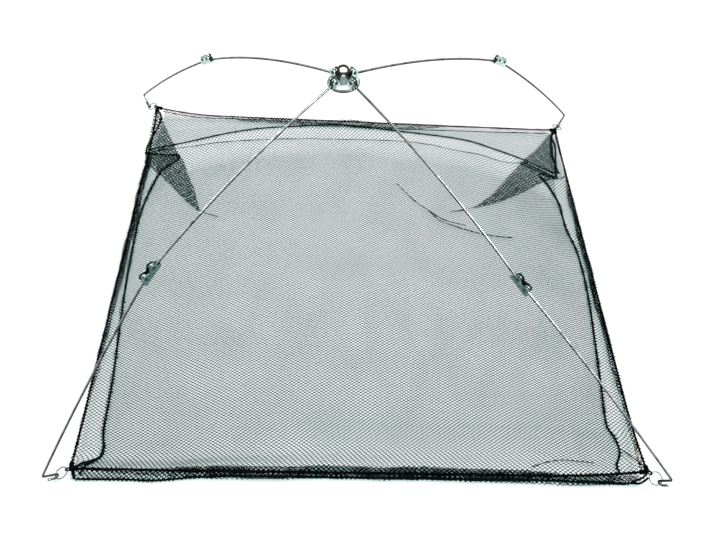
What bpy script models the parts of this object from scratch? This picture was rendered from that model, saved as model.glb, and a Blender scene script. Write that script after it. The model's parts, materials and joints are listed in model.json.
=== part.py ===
"""A square lift net: a shallow netting bag on a folding frame of four sprung steel arms.

Each arm hinges in a bracket of the hub, folds twice more at a link half way out, and ends in an
open hook that holds a wire ring at one corner of the bag. The net is spread on the ground with
its slack walls folded, so the frame stands over it. The origin is on the ground under the hub.
"""

import math
from typing import NamedTuple

import bmesh
import bpy
from mathutils import Euler, Matrix, Vector

MM = 0.001

# Clearance that neighbouring pieces keep, so that they touch without sharing space
GAP = 0.3 * MM

# Spring rods and the rivets that their curled eyes turn on
ROD_RADIUS = 2.25 * MM
RIVET_RADIUS = 2.0 * MM
RIVET_HEAD_RADIUS = 3.4 * MM
RIVET_HEAD_HEIGHT = 1.3 * MM
EYE_RADIUS = RIVET_RADIUS + GAP + ROD_RADIUS
EYE_END_ANGLE = math.radians(-14)
EYE_STEPS = 10
INNER_ROD_SPAN = 438 * MM
INNER_ROD_BOW = 14.5 * MM
OUTER_ROD_SPAN = 414 * MM
OUTER_ROD_BOW = 6.7 * MM
ROD_STEPS = 8

# Hook at the outer rod's tip: a square bend, a leg back towards the bag, and a U-turn
HOOK_LEG = 34 * MM
HOOK_RETURN = 17 * MM
HOOK_GAP = 10 * MM
HOOK_BEND_RADIUS = 4.5 * MM
HOOK_BEND_STEPS = 4
HOOK_TURN_STEPS = 6

# Brackets and links, folded from one thickness of sheet into channels that open upwards
SHEET = 1.8 * MM
CHANNEL_WIDTH = 12 * MM
EAR_STEPS = 7
BRACKET_EAR_RADIUS = 7 * MM
BRACKET_FLOOR = RIVET_RADIUS + GAP + 2 * ROD_RADIUS + 1.2 * MM
BRACKET_OVERHANG = 9 * MM
LINK_PITCH = 22 * MM
LINK_EAR_RADIUS = 7.5 * MM
LINK_OVERHANG = 11.5 * MM
LINK_FLOOR = RIVET_RADIUS + GAP + 2 * ROD_RADIUS + 2.0 * MM
LINK_WAIST = 1.5 * MM
HINGE_EDGE = 3 * MM

# Hub: the cross of four brackets, the ring that stops the arms, and the lifting eye
HUB_PIVOT_RADIUS = 22 * MM
HUB_DISC_RADIUS = 13 * MM
FLANGE_START = 11 * MM
STOP_RING_RADIUS = 26.25 * MM
STOP_RING_WIRE_RADIUS = 2.75 * MM
LIFT_EYE_RADIUS = 9 * MM
LIFT_EYE_WIRE_RADIUS = 2.25 * MM
LIFT_EYE_RISE = 13.6 * MM
LIFT_EYE_OPENING = math.radians(62)
LIFT_EYE_FOOT = 9 * MM
LIFT_EYE_STEPS = 16

# Corner rings of the bag and the cord loops that they hang from
RING_RADIUS = 11.5 * MM
RING_WIRE_RADIUS = 1.0 * MM
RING_SLOPE = math.radians(18)
RING_SEAT_PLAY = 0.8 * MM
LOOP_RADIUS = 3.2 * MM
LOOP_CORD_RADIUS = 1.1 * MM
LOOP_SHIFT = 0.8 * MM

# Net: border ropes, corner seams, netting floor and folded walls
ROPE_RADIUS = 3.0 * MM
SEAM_RADIUS = 2.0 * MM
ROPE_SPACING = 40 * MM
TOP_ROPE_HEIGHT = 12.6 * MM
TOP_ROPE_DROP_RUN = 160 * MM
GATHER_PLAY = 0.5 * MM
FLOOR_DIAMONDS = 9
FLOOR_BAR_WIDTH = 5 * MM
FLOOR_THICKNESS = 2 * MM
WALL_THICKNESS = 1.4 * MM
WALL_FOLD_REACH = 6 * MM
WALL_SIDE_PLAY = 2.5 * MM
WALL_STATIONS = 11
TUCK_THICKNESS = 1.4 * MM


class Arm(NamedTuple):
    """One arm as it stands: angles in degrees, droops measured downwards."""

    heading: float
    inner_droop: float
    outer_droop: float
    ring_turn: float
    ring_roll: float


ARMS = {
    "far_left": Arm(134.1, 23.4, 39.6, 14.5, -15),
    "far_right": Arm(43.4, 21.9, 45.1, 19.1, 10),
    "near_right": Arm(-42.1, 28.6, 33.1, 2.5, 12),
    "near_left": Arm(-135.0, 20.9, 46.7, -20.2, 8),
}

# Each edge of the bag runs counter-clockwise between two arms
SIDES = {
    "near": ("near_left", "near_right"),
    "right": ("near_right", "far_right"),
    "far": ("far_right", "far_left"),
    "left": ("far_left", "near_left"),
}

# Bottom rope of each side: share of the edge, and distance into the bag from the top rope in
# thousandths of the edge
BOTTOM_ROPE_ROUTES = {
    "near": [
        (0.01, -14.8), (0.095, -14.3), (0.139, -15.7), (0.172, -13.3), (0.208, -8.9), (0.251, -5.9),
        (0.33, -4.9), (0.58, -4.4), (0.8, -4.9), (0.856, -5.4), (0.881, -6.9), (0.924, -8.4),
        (0.968, -9.3),
    ],
    "right": [
        (0.012, 40.2), (0.03, 42.8), (0.056, 31.3), (0.09, 34.5), (0.12, 43.9), (0.218, 35.5),
        (0.433, 17.8), (0.566, 16.7), (0.651, 29.2), (0.736, 32.4), (0.8, 48), (0.838, 64.8),
        (0.844, 58.5), (0.836, 43.9), (0.828, 26.6),
    ],
    "far": [
        (0.012, 149.7), (0.079, 106.8), (0.15, 70.8), (0.232, 38.4), (0.384, 18), (0.535, 3.5),
        (0.64, 15), (0.734, 29.9), (0.815, 54.9), (0.9, 91.8), (0.96, 116.7), (0.997, 129.7),
    ],
    "left": [
        (0.144, -7.4), (0.147, 29.7), (0.15, 61.4), (0.157, 73.3), (0.168, 69.3), (0.19, 51.5),
        (0.215, 34.2), (0.28, 20.3), (0.364, 11.4), (0.493, 13.9), (0.604, 19.3), (0.804, 34.7),
        (0.913, 39.1), (0.955, 47.5), (0.975, 41.6), (0.985, 25.7), (0.993, 17.8), (1.007, 14.9),
    ],
}

# Stretch of each bottom rope that the floor's edge follows
FLOOR_STRETCHES = {
    "near": (0.05, 0.93),
    "right": (0.06, 0.86),
    "far": (0.08, 0.88),
    "left": (0.135, 0.92),
}

# Stretch of each edge that its folded wall is modelled for
WALL_STRETCHES = {
    "near": (0.04, 0.93),
    "right": (0.16, 0.76),
    "far": (0.17, 0.84),
    "left": (0.24, 0.84),
}

# Far corners, where the slack wall is folded into a dark leaf over the floor. Each station
# gives its outer and its inner point, each as distances along the far edge and down the side
# edge in thousandths of that edge, and its height over the ropes' tops in millimetres.
TUCK_STATIONS = {
    "far_left": [
        ((16.0, 25.7), (25.9, 25.7), 7.5),
        ((14.0, 89.1), (57.9, 89.1), 2.4),
        ((16.0, 158.4), (91.8, 158.4), 1.6),
        ((47.9, 227.8), (111.7, 211.9), 1.6),
        ((91.8, 283.2), (125.7, 259.5), 0.0),
        ((141.7, 342.6), (151.7, 332.7), -2.4),
        ((185.6, 364.4), (189.6, 360.5), -2.8),
    ],
    "far_right": [
        ((14.0, 27.2), (21.9, 27.2), 6.5),
        ((14.0, 83.6), (57.9, 64.8), 2.4),
        ((14.0, 135.8), (91.8, 112.8), 1.6),
        ((14.0, 171.3), (117.7, 158.8), 1.6),
        ((75.8, 227.7), (157.6, 208.9), 0.4),
        ((149.7, 269.5), (201.5, 250.7), -1.8),
        ((245.4, 298.7), (249.4, 294.5), -2.8),
    ],
}

ZINC = ("zinc plated steel", (0.56, 0.60, 0.60), 0.35, 1.0)
PALE_ZINC = ("blue white zinc plate", (0.62, 0.74, 0.73), 0.38, 1.0)
DARK_STEEL = ("dark forged steel", (0.10, 0.11, 0.09), 0.45, 1.0)
ROPE = ("black twisted rope", (0.012, 0.014, 0.014), 0.85, 0.0)
NETTING = ("black knotless netting", (0.02, 0.03, 0.03), 0.8, 0.0)


def clear_scene():
    for old in list(bpy.data.objects):
        bpy.data.objects.remove(old, do_unlink=True)


def new_collection(name):
    collection = bpy.data.collections.new(name)
    bpy.context.scene.collection.children.link(collection)
    return collection


def material(spec):
    """A Principled material of the given name, colour, roughness and metallic value."""
    name, colour, roughness, metallic = spec
    found = bpy.data.materials.get(name)
    if found:
        return found
    made = bpy.data.materials.new(name)
    made.use_nodes = True
    shader = made.node_tree.nodes["Principled BSDF"]
    shader.inputs["Base Color"].default_value = (*colour, 1.0)
    shader.inputs["Roughness"].default_value = roughness
    shader.inputs["Metallic"].default_value = metallic
    made.diffuse_color = (*colour, 1.0)
    return made


def place(obj, collection, parent=None, location=(0, 0, 0), rotation=(0, 0, 0)):
    """Link an object, hang it on its parent and set where it stands in the parent's frame."""
    collection.objects.link(obj)
    obj.parent = parent
    obj.location = location
    obj.rotation_euler = rotation
    return obj


def finish_part(obj, spec, parent=None, location=(0, 0, 0), rotation=(0, 0, 0)):
    """Give a part its material and its place."""
    obj.data.materials.append(material(spec))
    return place(obj, PARTS, parent, location, rotation)


def smooth_shaded(mesh, angle=40):
    mesh.shade_smooth()
    mesh.set_sharp_from_angle(angle=math.radians(angle))
    return mesh


def tube(name, points, radius, spec, parent=None, location=(0, 0, 0), rotation=(0, 0, 0), sides=2):
    """A round bar or rope along the points, with closed ends."""
    curve = bpy.data.curves.new(name, "CURVE")
    curve.dimensions = "3D"
    curve.bevel_depth = radius
    curve.bevel_resolution = sides
    curve.use_fill_caps = True
    spline = curve.splines.new("POLY")
    spline.points.add(len(points) - 1)
    for target, point in zip(spline.points, points):
        target.co = (*point, 1.0)
    obj = bpy.data.objects.new(name, curve)
    return finish_part(obj, spec, parent, location, rotation)


def torus_mesh(name, major, minor, major_steps, minor_steps):
    """A wire ring round its own Z axis."""
    bpy.ops.mesh.primitive_torus_add(
        major_radius=major,
        minor_radius=minor,
        major_segments=major_steps,
        minor_segments=minor_steps,
    )
    made = bpy.context.object
    mesh = made.data
    bpy.data.objects.remove(made, do_unlink=True)
    mesh.name = name
    return smooth_shaded(mesh, 60)


def box_mesh(name, low, high):
    mesh = bpy.data.meshes.new(name)
    bm = bmesh.new()
    bmesh.ops.create_cube(bm, size=1.0)
    for vert in bm.verts:
        for axis in range(3):
            vert.co[axis] = high[axis] if vert.co[axis] > 0 else low[axis]
    bm.to_mesh(mesh)
    bm.free()
    return mesh


def cylinder_mesh(name, radius, length, steps, along_y=False):
    mesh = bpy.data.meshes.new(name)
    bm = bmesh.new()
    turn = Matrix.Rotation(math.radians(90), 4, "X") if along_y else Matrix()
    bmesh.ops.create_cone(
        bm, cap_ends=True, segments=steps, radius1=radius, radius2=radius, depth=length, matrix=turn
    )
    bm.to_mesh(mesh)
    bm.free()
    return mesh


def plate_mesh(name, outline, thickness):
    """A flat outline in the XZ plane, made solid to half the thickness each side of Y zero."""
    curve = bpy.data.curves.new(name, "CURVE")
    curve.dimensions = "2D"
    curve.fill_mode = "BOTH"
    curve.extrude = thickness / 2
    spline = curve.splines.new("POLY")
    spline.points.add(len(outline) - 1)
    for target, (across, up) in zip(spline.points, outline):
        target.co = (across, up, 0, 1)
    spline.use_cyclic_u = True
    guide = bpy.data.objects.new(name, curve)
    bpy.context.scene.collection.objects.link(guide)
    bpy.context.view_layer.update()
    graph = bpy.context.evaluated_depsgraph_get()
    mesh = bpy.data.meshes.new_from_object(guide.evaluated_get(graph))
    bpy.data.objects.remove(guide, do_unlink=True)
    bm = bmesh.new()
    bm.from_mesh(mesh)
    bmesh.ops.remove_doubles(bm, verts=bm.verts, dist=1e-6)
    bmesh.ops.rotate(bm, verts=bm.verts, matrix=Matrix.Rotation(math.radians(90), 3, "X"))
    bmesh.ops.recalc_face_normals(bm, faces=bm.faces)
    bm.to_mesh(mesh)
    bm.free()
    return mesh


def cutter(name, mesh, collection, parent=None, location=(0, 0, 0), rotation=(0, 0, 0)):
    """A helper solid that is added to or taken from a part, and isn't a part itself."""
    obj = bpy.data.objects.new(name, mesh)
    obj.hide_render = True
    obj.display_type = "WIRE"
    return place(obj, collection, parent, location, rotation)


def boolean(obj, operation, collection=None, other=None):
    modifier = obj.modifiers.new(operation.title(), "BOOLEAN")
    modifier.operation = operation
    if collection:
        modifier.operand_type = "COLLECTION"
        modifier.collection = collection
    else:
        modifier.object = other


def arc(centre, radius, start, end, steps):
    """Points of a circular arc in a plane, from one angle to the other."""
    points = []
    for step in range(steps + 1):
        angle = start + (end - start) * step / steps
        points.append((centre[0] + radius * math.cos(angle), centre[1] + radius * math.sin(angle)))
    return points


def bowed(start, span, bow, steps):
    """Points of a rod sprung upwards by the bow in the middle of its span."""
    points = []
    for step in range(steps + 1):
        share = step / steps
        points.append((start[0] + span * share, start[1] + 4 * bow * share * (1 - share)))
    return points


def in_arm_plane(points):
    return [Vector((along, 0, up)) for along, up in points]


def end_slope(span, bow):
    """Angle between a bowed rod's end and its chord."""
    return math.atan(4 * bow / span)


def eye_points(slope):
    """The curl round a rivet at the origin, ending where the rod leaves it at this slope."""
    return arc((0, 0), EYE_RADIUS, EYE_END_ANGLE + slope, 3 * math.pi / 2 + slope, EYE_STEPS)[:-1]


def mirrored_along(points, span):
    return [(span - along, up) for along, up in reversed(points)]


def rod_start(span, bow):
    slope = end_slope(span, bow)
    return EYE_RADIUS * math.sin(slope), -EYE_RADIUS * math.cos(slope)


def inner_rod_length():
    """Distance between the two rivets of an inner rod."""
    return INNER_ROD_SPAN + 2 * rod_start(INNER_ROD_SPAN, INNER_ROD_BOW)[0]


def inner_rod_points():
    slope = end_slope(INNER_ROD_SPAN, INNER_ROD_BOW)
    curl = eye_points(slope)
    body = bowed(rod_start(INNER_ROD_SPAN, INNER_ROD_BOW), INNER_ROD_SPAN, INNER_ROD_BOW, ROD_STEPS)
    return in_arm_plane(curl + body + mirrored_along(curl, inner_rod_length()))


def hook_frame():
    """The bend at the tip, and the directions of the hook's leg and of the rod's end."""
    slope = end_slope(OUTER_ROD_SPAN, OUTER_ROD_BOW)
    start = rod_start(OUTER_ROD_SPAN, OUTER_ROD_BOW)
    bend = Vector((start[0] + OUTER_ROD_SPAN, start[1]))
    leg = Vector((-math.sin(slope), -math.cos(slope)))
    out = Vector((math.cos(slope), -math.sin(slope)))
    return bend, leg, out


def hook_points():
    """Square bend, leg, U-turn and return of the hook, in the outer rod's plane."""
    bend, leg, out = hook_frame()
    points = []
    for step in range(HOOK_BEND_STEPS + 1):
        angle = math.pi / 2 * step / HOOK_BEND_STEPS
        centre = bend - out * HOOK_BEND_RADIUS + leg * HOOK_BEND_RADIUS
        swing = out * math.sin(angle) - leg * math.cos(angle)
        points.append(centre + swing * HOOK_BEND_RADIUS)
    turn = HOOK_GAP / 2
    centre = bend + leg * (HOOK_LEG - turn) + out * turn
    for step in range(HOOK_TURN_STEPS + 1):
        angle = math.pi * step / HOOK_TURN_STEPS
        points.append(centre - out * turn * math.cos(angle) + leg * turn * math.sin(angle))
    points.append(centre + out * turn - leg * (HOOK_RETURN - turn))
    return [tuple(point) for point in points]


def outer_rod_points():
    slope = end_slope(OUTER_ROD_SPAN, OUTER_ROD_BOW)
    start = rod_start(OUTER_ROD_SPAN, OUTER_ROD_BOW)
    body = bowed(start, OUTER_ROD_SPAN, OUTER_ROD_BOW, ROD_STEPS)[:-1]
    return in_arm_plane(eye_points(slope) + body + hook_points())


def hook_seat():
    """Where the wire of a corner ring lies in the closed end of the hook."""
    bend, leg, out = hook_frame()
    depth = HOOK_LEG - ROD_RADIUS - RING_SEAT_PLAY - RING_WIRE_RADIUS
    seat = bend + leg * depth + out * HOOK_GAP / 2
    return Vector((seat.x, 0, seat.y))


def link_droop(arm):
    """The link stands half way between the ends of its two rods."""
    inner_end = arm.inner_droop + math.degrees(end_slope(INNER_ROD_SPAN, INNER_ROD_BOW))
    outer_start = arm.outer_droop - math.degrees(end_slope(OUTER_ROD_SPAN, OUTER_ROD_BOW))
    return (inner_end + outer_start) / 2


def arm_frames(arm, height):
    """World frames of an arm's three hinges: X runs along the piece that turns on each."""
    heading = math.radians(arm.heading)
    base = Vector((HUB_PIVOT_RADIUS * math.cos(heading), HUB_PIVOT_RADIUS * math.sin(heading), height))
    turned = Euler((0, math.radians(arm.inner_droop), heading)).to_matrix().to_4x4()
    inner = Matrix.Translation(base) @ turned
    link_turn = Matrix.Rotation(math.radians(link_droop(arm) - arm.inner_droop), 4, "Y")
    link = inner @ Matrix.Translation((inner_rod_length(), 0, 0)) @ link_turn
    outer_turn = Matrix.Rotation(math.radians(arm.outer_droop - link_droop(arm)), 4, "Y")
    outer = link @ Matrix.Translation((LINK_PITCH, 0, 0)) @ outer_turn
    return inner, link, outer


def standing_height():
    """Height of the hub's rivets when the lowest hooks rest on the ground."""
    drops = []
    for arm in ARMS.values():
        outer = arm_frames(arm, 0)[2]
        drops.append(min((outer @ point).z for point in in_arm_plane(hook_points())) - ROD_RADIUS)
    return -min(drops)


def rope_corner(name):
    """World point where the top ropes meet at this corner, just inside the cord loop."""
    loop, rotation = ring_frame(name)
    outward = rotation.to_matrix() @ Vector((1, 0, 0))
    flat = Vector((outward.x, outward.y, 0)).normalized()
    return loop - flat * (LOOP_SHIFT + LOOP_RADIUS + LOOP_CORD_RADIUS + 5 * GAP)


def ring_frame(name):
    """World point where a corner ring hangs in its loop, and its turn: X points to the hook."""
    arm = ARMS[name]
    seat = arm_frames(arm, HUB_HEIGHT)[2] @ hook_seat()
    rotation = Euler((math.radians(arm.ring_roll), RING_SLOPE, math.radians(arm.heading + arm.ring_turn)))
    return seat - rotation.to_matrix() @ Vector((2 * RING_RADIUS, 0, 0)), rotation


def empty(name, parent, location, rotation):
    obj = bpy.data.objects.new(name, None)
    obj.empty_display_size = 10 * MM
    return place(obj, PARTS, parent, location, rotation)


def rivet_mesh():
    """A domed rivet round its own Z axis, long enough for one channel."""
    half = CHANNEL_WIDTH / 2 + GAP
    top = half + RIVET_HEAD_HEIGHT
    dome = RIVET_HEAD_RADIUS * 0.6
    shoulder = top - RIVET_HEAD_HEIGHT * 0.2
    half_profile = [(0, top), (dome, shoulder), (RIVET_HEAD_RADIUS, half), (RIVET_RADIUS, half)]
    profile = half_profile + [(across, -up) for across, up in reversed(half_profile)]
    edges = [(i, i + 1) for i in range(len(profile) - 1)]
    mesh = bpy.data.meshes.new("rivet")
    mesh.from_pydata([(across, 0, up) for across, up in profile], edges, [])
    return mesh


def add_rivet(name, mesh, parent, location, rotation):
    rivet = bpy.data.objects.new(name, mesh)
    finish_part(rivet, ZINC, parent, location, rotation)
    screw = rivet.modifiers.new("Turned", "SCREW")
    screw.steps = 10
    screw.render_steps = 10
    screw.use_merge_vertices = True
    screw.merge_threshold = 0.00001
    screw.use_smooth_shade = True
    return rivet


def link_outline():
    """Side view of a link: two round ears with a waist between them, and a straight lower edge."""
    low = -(LINK_FLOOR + SHEET)
    right = LINK_PITCH + LINK_OVERHANG
    outline = [(-LINK_OVERHANG, low), (right, low), (right, low + HINGE_EDGE)]
    outline += arc((LINK_PITCH, 0), LINK_EAR_RADIUS, math.radians(-20), math.radians(135), EAR_STEPS)
    outline += [(LINK_PITCH / 2, LINK_WAIST)]
    outline += arc((0, 0), LINK_EAR_RADIUS, math.radians(45), math.radians(200), EAR_STEPS)
    outline += [(-LINK_OVERHANG, low + HINGE_EDGE)]
    return outline


def link_mesh():
    """One folded channel with its four rivet holes, cut once and shared by the four links."""
    blank = bpy.data.objects.new("link_blank", plate_mesh("link", link_outline(), CHANNEL_WIDTH))
    place(blank, PARTS)
    inside = CHANNEL_WIDTH / 2 - SHEET
    reach = LINK_PITCH + LINK_OVERHANG
    slot = box_mesh("link_slot", (-2 * reach, -inside, -LINK_FLOOR), (2 * reach, inside, reach))
    boolean(blank, "DIFFERENCE", other=cutter("link_slot", slot, CUTTERS))
    for place_name, along in (("inner", 0), ("outer", LINK_PITCH)):
        hole = cylinder_mesh(f"link_hole_{place_name}", RIVET_RADIUS + GAP, 2 * CHANNEL_WIDTH, 12, True)
        drill = cutter(f"link_hole_{place_name}", hole, CUTTERS, None, (along, 0, 0))
        boolean(blank, "DIFFERENCE", other=drill)
    bpy.context.view_layer.update()
    graph = bpy.context.evaluated_depsgraph_get()
    mesh = bpy.data.meshes.new_from_object(blank.evaluated_get(graph))
    bpy.data.objects.remove(blank, do_unlink=True)
    return smooth_shaded(mesh)


def add_arm(name, arm, rivet, link):
    """Inner rod, link with its two rivets, and outer rod, each on an empty at its hinge."""
    heading = math.radians(arm.heading)
    base = arm_frames(arm, HUB_HEIGHT)[0].translation
    inner_pivot = empty(f"hub_pivot_{name}", None, base, (0, math.radians(arm.inner_droop), heading))
    tube(f"inner_rod_{name}", inner_rod_points(), ROD_RADIUS, ZINC, inner_pivot)
    link_turn = (0, math.radians(link_droop(arm) - arm.inner_droop), 0)
    link_pivot = empty(f"link_pivot_{name}", inner_pivot, (inner_rod_length(), 0, 0), link_turn)
    finish_part(bpy.data.objects.new(f"link_{name}", link), PALE_ZINC, link_pivot)
    square = (math.radians(90), 0, 0)
    add_rivet(f"link_inner_rivet_{name}", rivet, link_pivot, (0, 0, 0), square)
    add_rivet(f"link_outer_rivet_{name}", rivet, link_pivot, (LINK_PITCH, 0, 0), square)
    outer_turn = (0, math.radians(arm.outer_droop - link_droop(arm)), 0)
    outer_pivot = empty(f"tip_pivot_{name}", link_pivot, (LINK_PITCH, 0, 0), outer_turn)
    tube(f"outer_rod_{name}", outer_rod_points(), ROD_RADIUS, ZINC, outer_pivot)
    add_rivet(f"hub_rivet_{name}", rivet, None, base, (math.radians(90), 0, heading))


def bracket_outline():
    """Side view of one hub bracket, from the disc out past the stop ring. Zero is at its rivet."""
    low = -(BRACKET_FLOOR + SHEET)
    foot = FLANGE_START - HUB_PIVOT_RADIUS
    outline = [(foot - FLANGE_START / 2, low), (BRACKET_OVERHANG, low)]
    outline += [(BRACKET_OVERHANG, low + HINGE_EDGE)]
    outline += arc((0, 0), BRACKET_EAR_RADIUS, math.radians(-25), math.radians(150), EAR_STEPS)
    outline += [(foot + 2 * SHEET, -BRACKET_FLOOR * 0.35), (foot, -BRACKET_FLOOR - SHEET / 2)]
    outline += [(foot - FLANGE_START / 2, -BRACKET_FLOOR - SHEET / 2)]
    return outline


def stop_ring_height():
    """Centre of the stop ring: it just clears the steepest rod that lies on it."""
    reach = STOP_RING_RADIUS - HUB_PIVOT_RADIUS
    lowest = 0
    for arm in ARMS.values():
        slope = math.radians(arm.inner_droop) - end_slope(INNER_ROD_SPAN, INNER_ROD_BOW)
        underside = (EYE_RADIUS + ROD_RADIUS) / math.cos(slope) + reach * math.tan(slope)
        lowest = max(lowest, underside)
    return HUB_HEIGHT - lowest - GAP - STOP_RING_WIRE_RADIUS


def add_hub():
    """The stamped cross, the stop ring under it and the lifting eye on it."""
    blanks = new_collection("Hub blanks")
    cuts = new_collection("Hub cuts")
    outline = plate_mesh("bracket", bracket_outline(), CHANNEL_WIDTH)
    inside = CHANNEL_WIDTH / 2 - SHEET
    floor = HUB_HEIGHT - BRACKET_FLOOR
    slot_start = (-HUB_PIVOT_RADIUS, -inside, -BRACKET_FLOOR)
    slot = box_mesh("bracket_slot", slot_start, (50 * MM, inside, 50 * MM))
    mouth_start = STOP_RING_RADIUS - STOP_RING_WIRE_RADIUS - GAP - HUB_PIVOT_RADIUS
    mouth = box_mesh("bracket_mouth", (mouth_start, -inside, -50 * MM), (50 * MM, inside, 0))
    hole = cylinder_mesh("bracket_hole", RIVET_RADIUS + GAP, 2 * CHANNEL_WIDTH, 12, True)
    for name, arm in ARMS.items():
        pivot = arm_frames(arm, HUB_HEIGHT)[0].translation
        turn = (0, 0, math.radians(arm.heading))
        cutter(f"bracket_{name}", outline, blanks, None, pivot, turn)
        cutter(f"bracket_slot_{name}", slot, cuts, None, pivot, turn)
        cutter(f"bracket_mouth_{name}", mouth, cuts, None, pivot, turn)
        cutter(f"bracket_hole_{name}", hole, cuts, None, pivot, turn)
    ring_place = (0, 0, stop_ring_height())
    seat = torus_mesh("ring_seat", STOP_RING_RADIUS, STOP_RING_WIRE_RADIUS + GAP, 32, 10)
    cutter("ring_seat", seat, cuts, None, ring_place)
    disc = cylinder_mesh("hub_cross", HUB_DISC_RADIUS, SHEET, 28)
    cross = bpy.data.objects.new("hub_cross", disc)
    finish_part(cross, PALE_ZINC, None, (0, 0, floor - SHEET / 2))
    boolean(cross, "UNION", blanks)
    boolean(cross, "DIFFERENCE", cuts)
    ring = torus_mesh("stop_ring", STOP_RING_RADIUS, STOP_RING_WIRE_RADIUS, 32, 8)
    finish_part(bpy.data.objects.new("stop_ring", ring), ZINC, None, ring_place)
    centre = (0, HUB_HEIGHT + LIFT_EYE_RISE)
    bow = arc(centre, LIFT_EYE_RADIUS, -LIFT_EYE_OPENING, math.pi / 2, LIFT_EYE_STEPS // 2)
    foot_height = floor + GAP
    half = [
        (LIFT_EYE_FOOT, foot_height),
        (LIFT_EYE_FOOT, foot_height + LIFT_EYE_WIRE_RADIUS),
        (LIFT_EYE_FOOT * 0.78, foot_height + 3 * LIFT_EYE_WIRE_RADIUS),
        (bow[0][0] * 1.1, bow[0][1] - LIFT_EYE_WIRE_RADIUS),
    ] + bow
    points = half + [(-across, up) for across, up in reversed(half[:-1])]
    tube("lifting_eye", in_arm_plane(points), LIFT_EYE_WIRE_RADIUS, DARK_STEEL)


def add_corner(name, ring, loop):
    """The wire ring on its hook and the cord loop that ties it to the bag."""
    hang, rotation = ring_frame(name)
    pivot = empty(f"ring_pivot_{name}", None, hang, rotation)
    finish_part(bpy.data.objects.new(f"corner_ring_{name}", ring), ZINC, pivot, (RING_RADIUS, 0, 0))
    level = Euler((0, rotation.y, rotation.z)).to_matrix()
    centre = hang - level @ Vector((LOOP_SHIFT, 0, 0))
    upright = (math.radians(90), rotation.y, rotation.z)
    finish_part(bpy.data.objects.new(f"corner_loop_{name}", loop), ROPE, None, centre, upright)


def smooth_route(points, spacing):
    """Points about the spacing apart on a smooth curve through the given ones."""
    ends = [points[0] * 2 - points[1]] + list(points) + [points[-1] * 2 - points[-2]]
    route = []
    for before, start, end, after in zip(ends, ends[1:], ends[2:], ends[3:]):
        steps = max(1, round((end - start).length / spacing))
        for step in range(steps):
            t = step / steps
            route.append(
                (start * 2 + (end - before) * t + (before * 2 - start * 5 + end * 4 - after) * t * t
                 + (start * 3 - before - end * 3 + after) * t * t * t) / 2
            )
    return route + [points[-1].copy()]


def edge_length(side):
    start, end = (CORNERS[name].to_2d() for name in SIDES[side])
    return (end - start).length


def edge_point(side, share, inset, height):
    """A point beside one edge of the bag: its share of the edge, and how far it lies inside."""
    start, end = (CORNERS[name].to_2d() for name in SIDES[side])
    run = end - start
    inward = Vector((-run.y, run.x)).normalized()
    flat = start + run * share + inward * inset
    return Vector((flat.x, flat.y, height))


def bottom_route(side):
    """Centre line of a bottom rope, lying on the ground."""
    height = ROPE_RADIUS + GAP
    route = BOTTOM_ROPE_ROUTES[side]
    unit = edge_length(side) / 1000
    points = [edge_point(side, share, inset * unit, height) for share, inset in route]
    return smooth_route(points, ROPE_SPACING)


def top_route(side):
    """Centre line of a top rope: taut from ring to ring, and lying on the folded wall between."""
    first, last = (CORNERS[name] for name in SIDES[side])
    run = (last - first).to_2d()
    length = run.length
    trim = ROPE_RADIUS + 2 * GAP if side in ("left", "right") else 0
    points = []
    steps = round(length / (2 * ROPE_SPACING))
    drop_marks = [0, 0.25, 0.6, 1]
    marks = [trim + mark * (TOP_ROPE_DROP_RUN - trim) for mark in drop_marks]
    lying = (length - 2 * TOP_ROPE_DROP_RUN) / (steps // 2)
    inner = [TOP_ROPE_DROP_RUN + lying * step for step in range(1, steps // 2)]
    distances = marks + inner + [length - mark for mark in reversed(marks)]
    for distance in distances:
        end = first if distance < length / 2 else last
        near = min(distance, length - distance)
        rise = (end.z - TOP_ROPE_HEIGHT) * max(0, 1 - near / TOP_ROPE_DROP_RUN) ** 2
        flat = first.to_2d() + run * distance / length
        points.append(Vector((flat.x, flat.y, TOP_ROPE_HEIGHT + rise)))
    return points


def add_seam(name, below):
    """A corner's sewn edge: from under the top ropes down to where the bottom ropes meet."""
    corner = CORNERS[name]
    start = corner - Vector((0, 0, ROPE_RADIUS + SEAM_RADIUS + GAP))
    tube(f"corner_seam_{name}", smooth_route([start] + below, ROPE_SPACING), SEAM_RADIUS, ROPE)


def route_share(route, share):
    """The point at this share of a route's length, and the direction there."""
    lengths = [(b - a).length for a, b in zip(route, route[1:])]
    left = share * sum(lengths)
    for a, b, length in zip(route, route[1:], lengths):
        if left <= length:
            return a.lerp(b, left / length), (b - a).normalized()
        left -= length
    return route[-1].copy(), (route[-1] - route[-2]).normalized()


def floor_edge(side, share):
    """A point of the netting floor's edge, just inside the bottom rope."""
    low, high = FLOOR_STRETCHES[side]
    point, along = route_share(BOTTOM_ROUTES[side], low + (high - low) * share)
    inward = Vector((-along.y, along.x, 0))
    inset = point + inward * (ROPE_RADIUS + 2 * GAP)
    return inset.to_2d()


def floor_corner(before, after):
    return (floor_edge(before, 1) + floor_edge(after, 0)) / 2


def floor_point(u, v):
    """Map a unit square onto the floor: its edges follow the ropes, its middle is at the origin."""
    near_left = floor_corner("left", "near")
    near_right = floor_corner("near", "right")
    far_right = floor_corner("right", "far")
    far_left = floor_corner("far", "left")

    def edge(side, share, start, end):
        bend = floor_edge(side, share) - floor_edge(side, 0).lerp(floor_edge(side, 1), share)
        return start.lerp(end, share) + bend

    near = edge("near", u, near_left, near_right)
    far = edge("far", 1 - u, far_right, far_left)
    left = edge("left", 1 - v, far_left, near_left)
    right = edge("right", v, near_right, far_right)
    flat = near.lerp(far, v) + left.lerp(right, u)
    flat -= near_left.lerp(near_right, u).lerp(far_left.lerp(far_right, u), v)
    return flat


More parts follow.
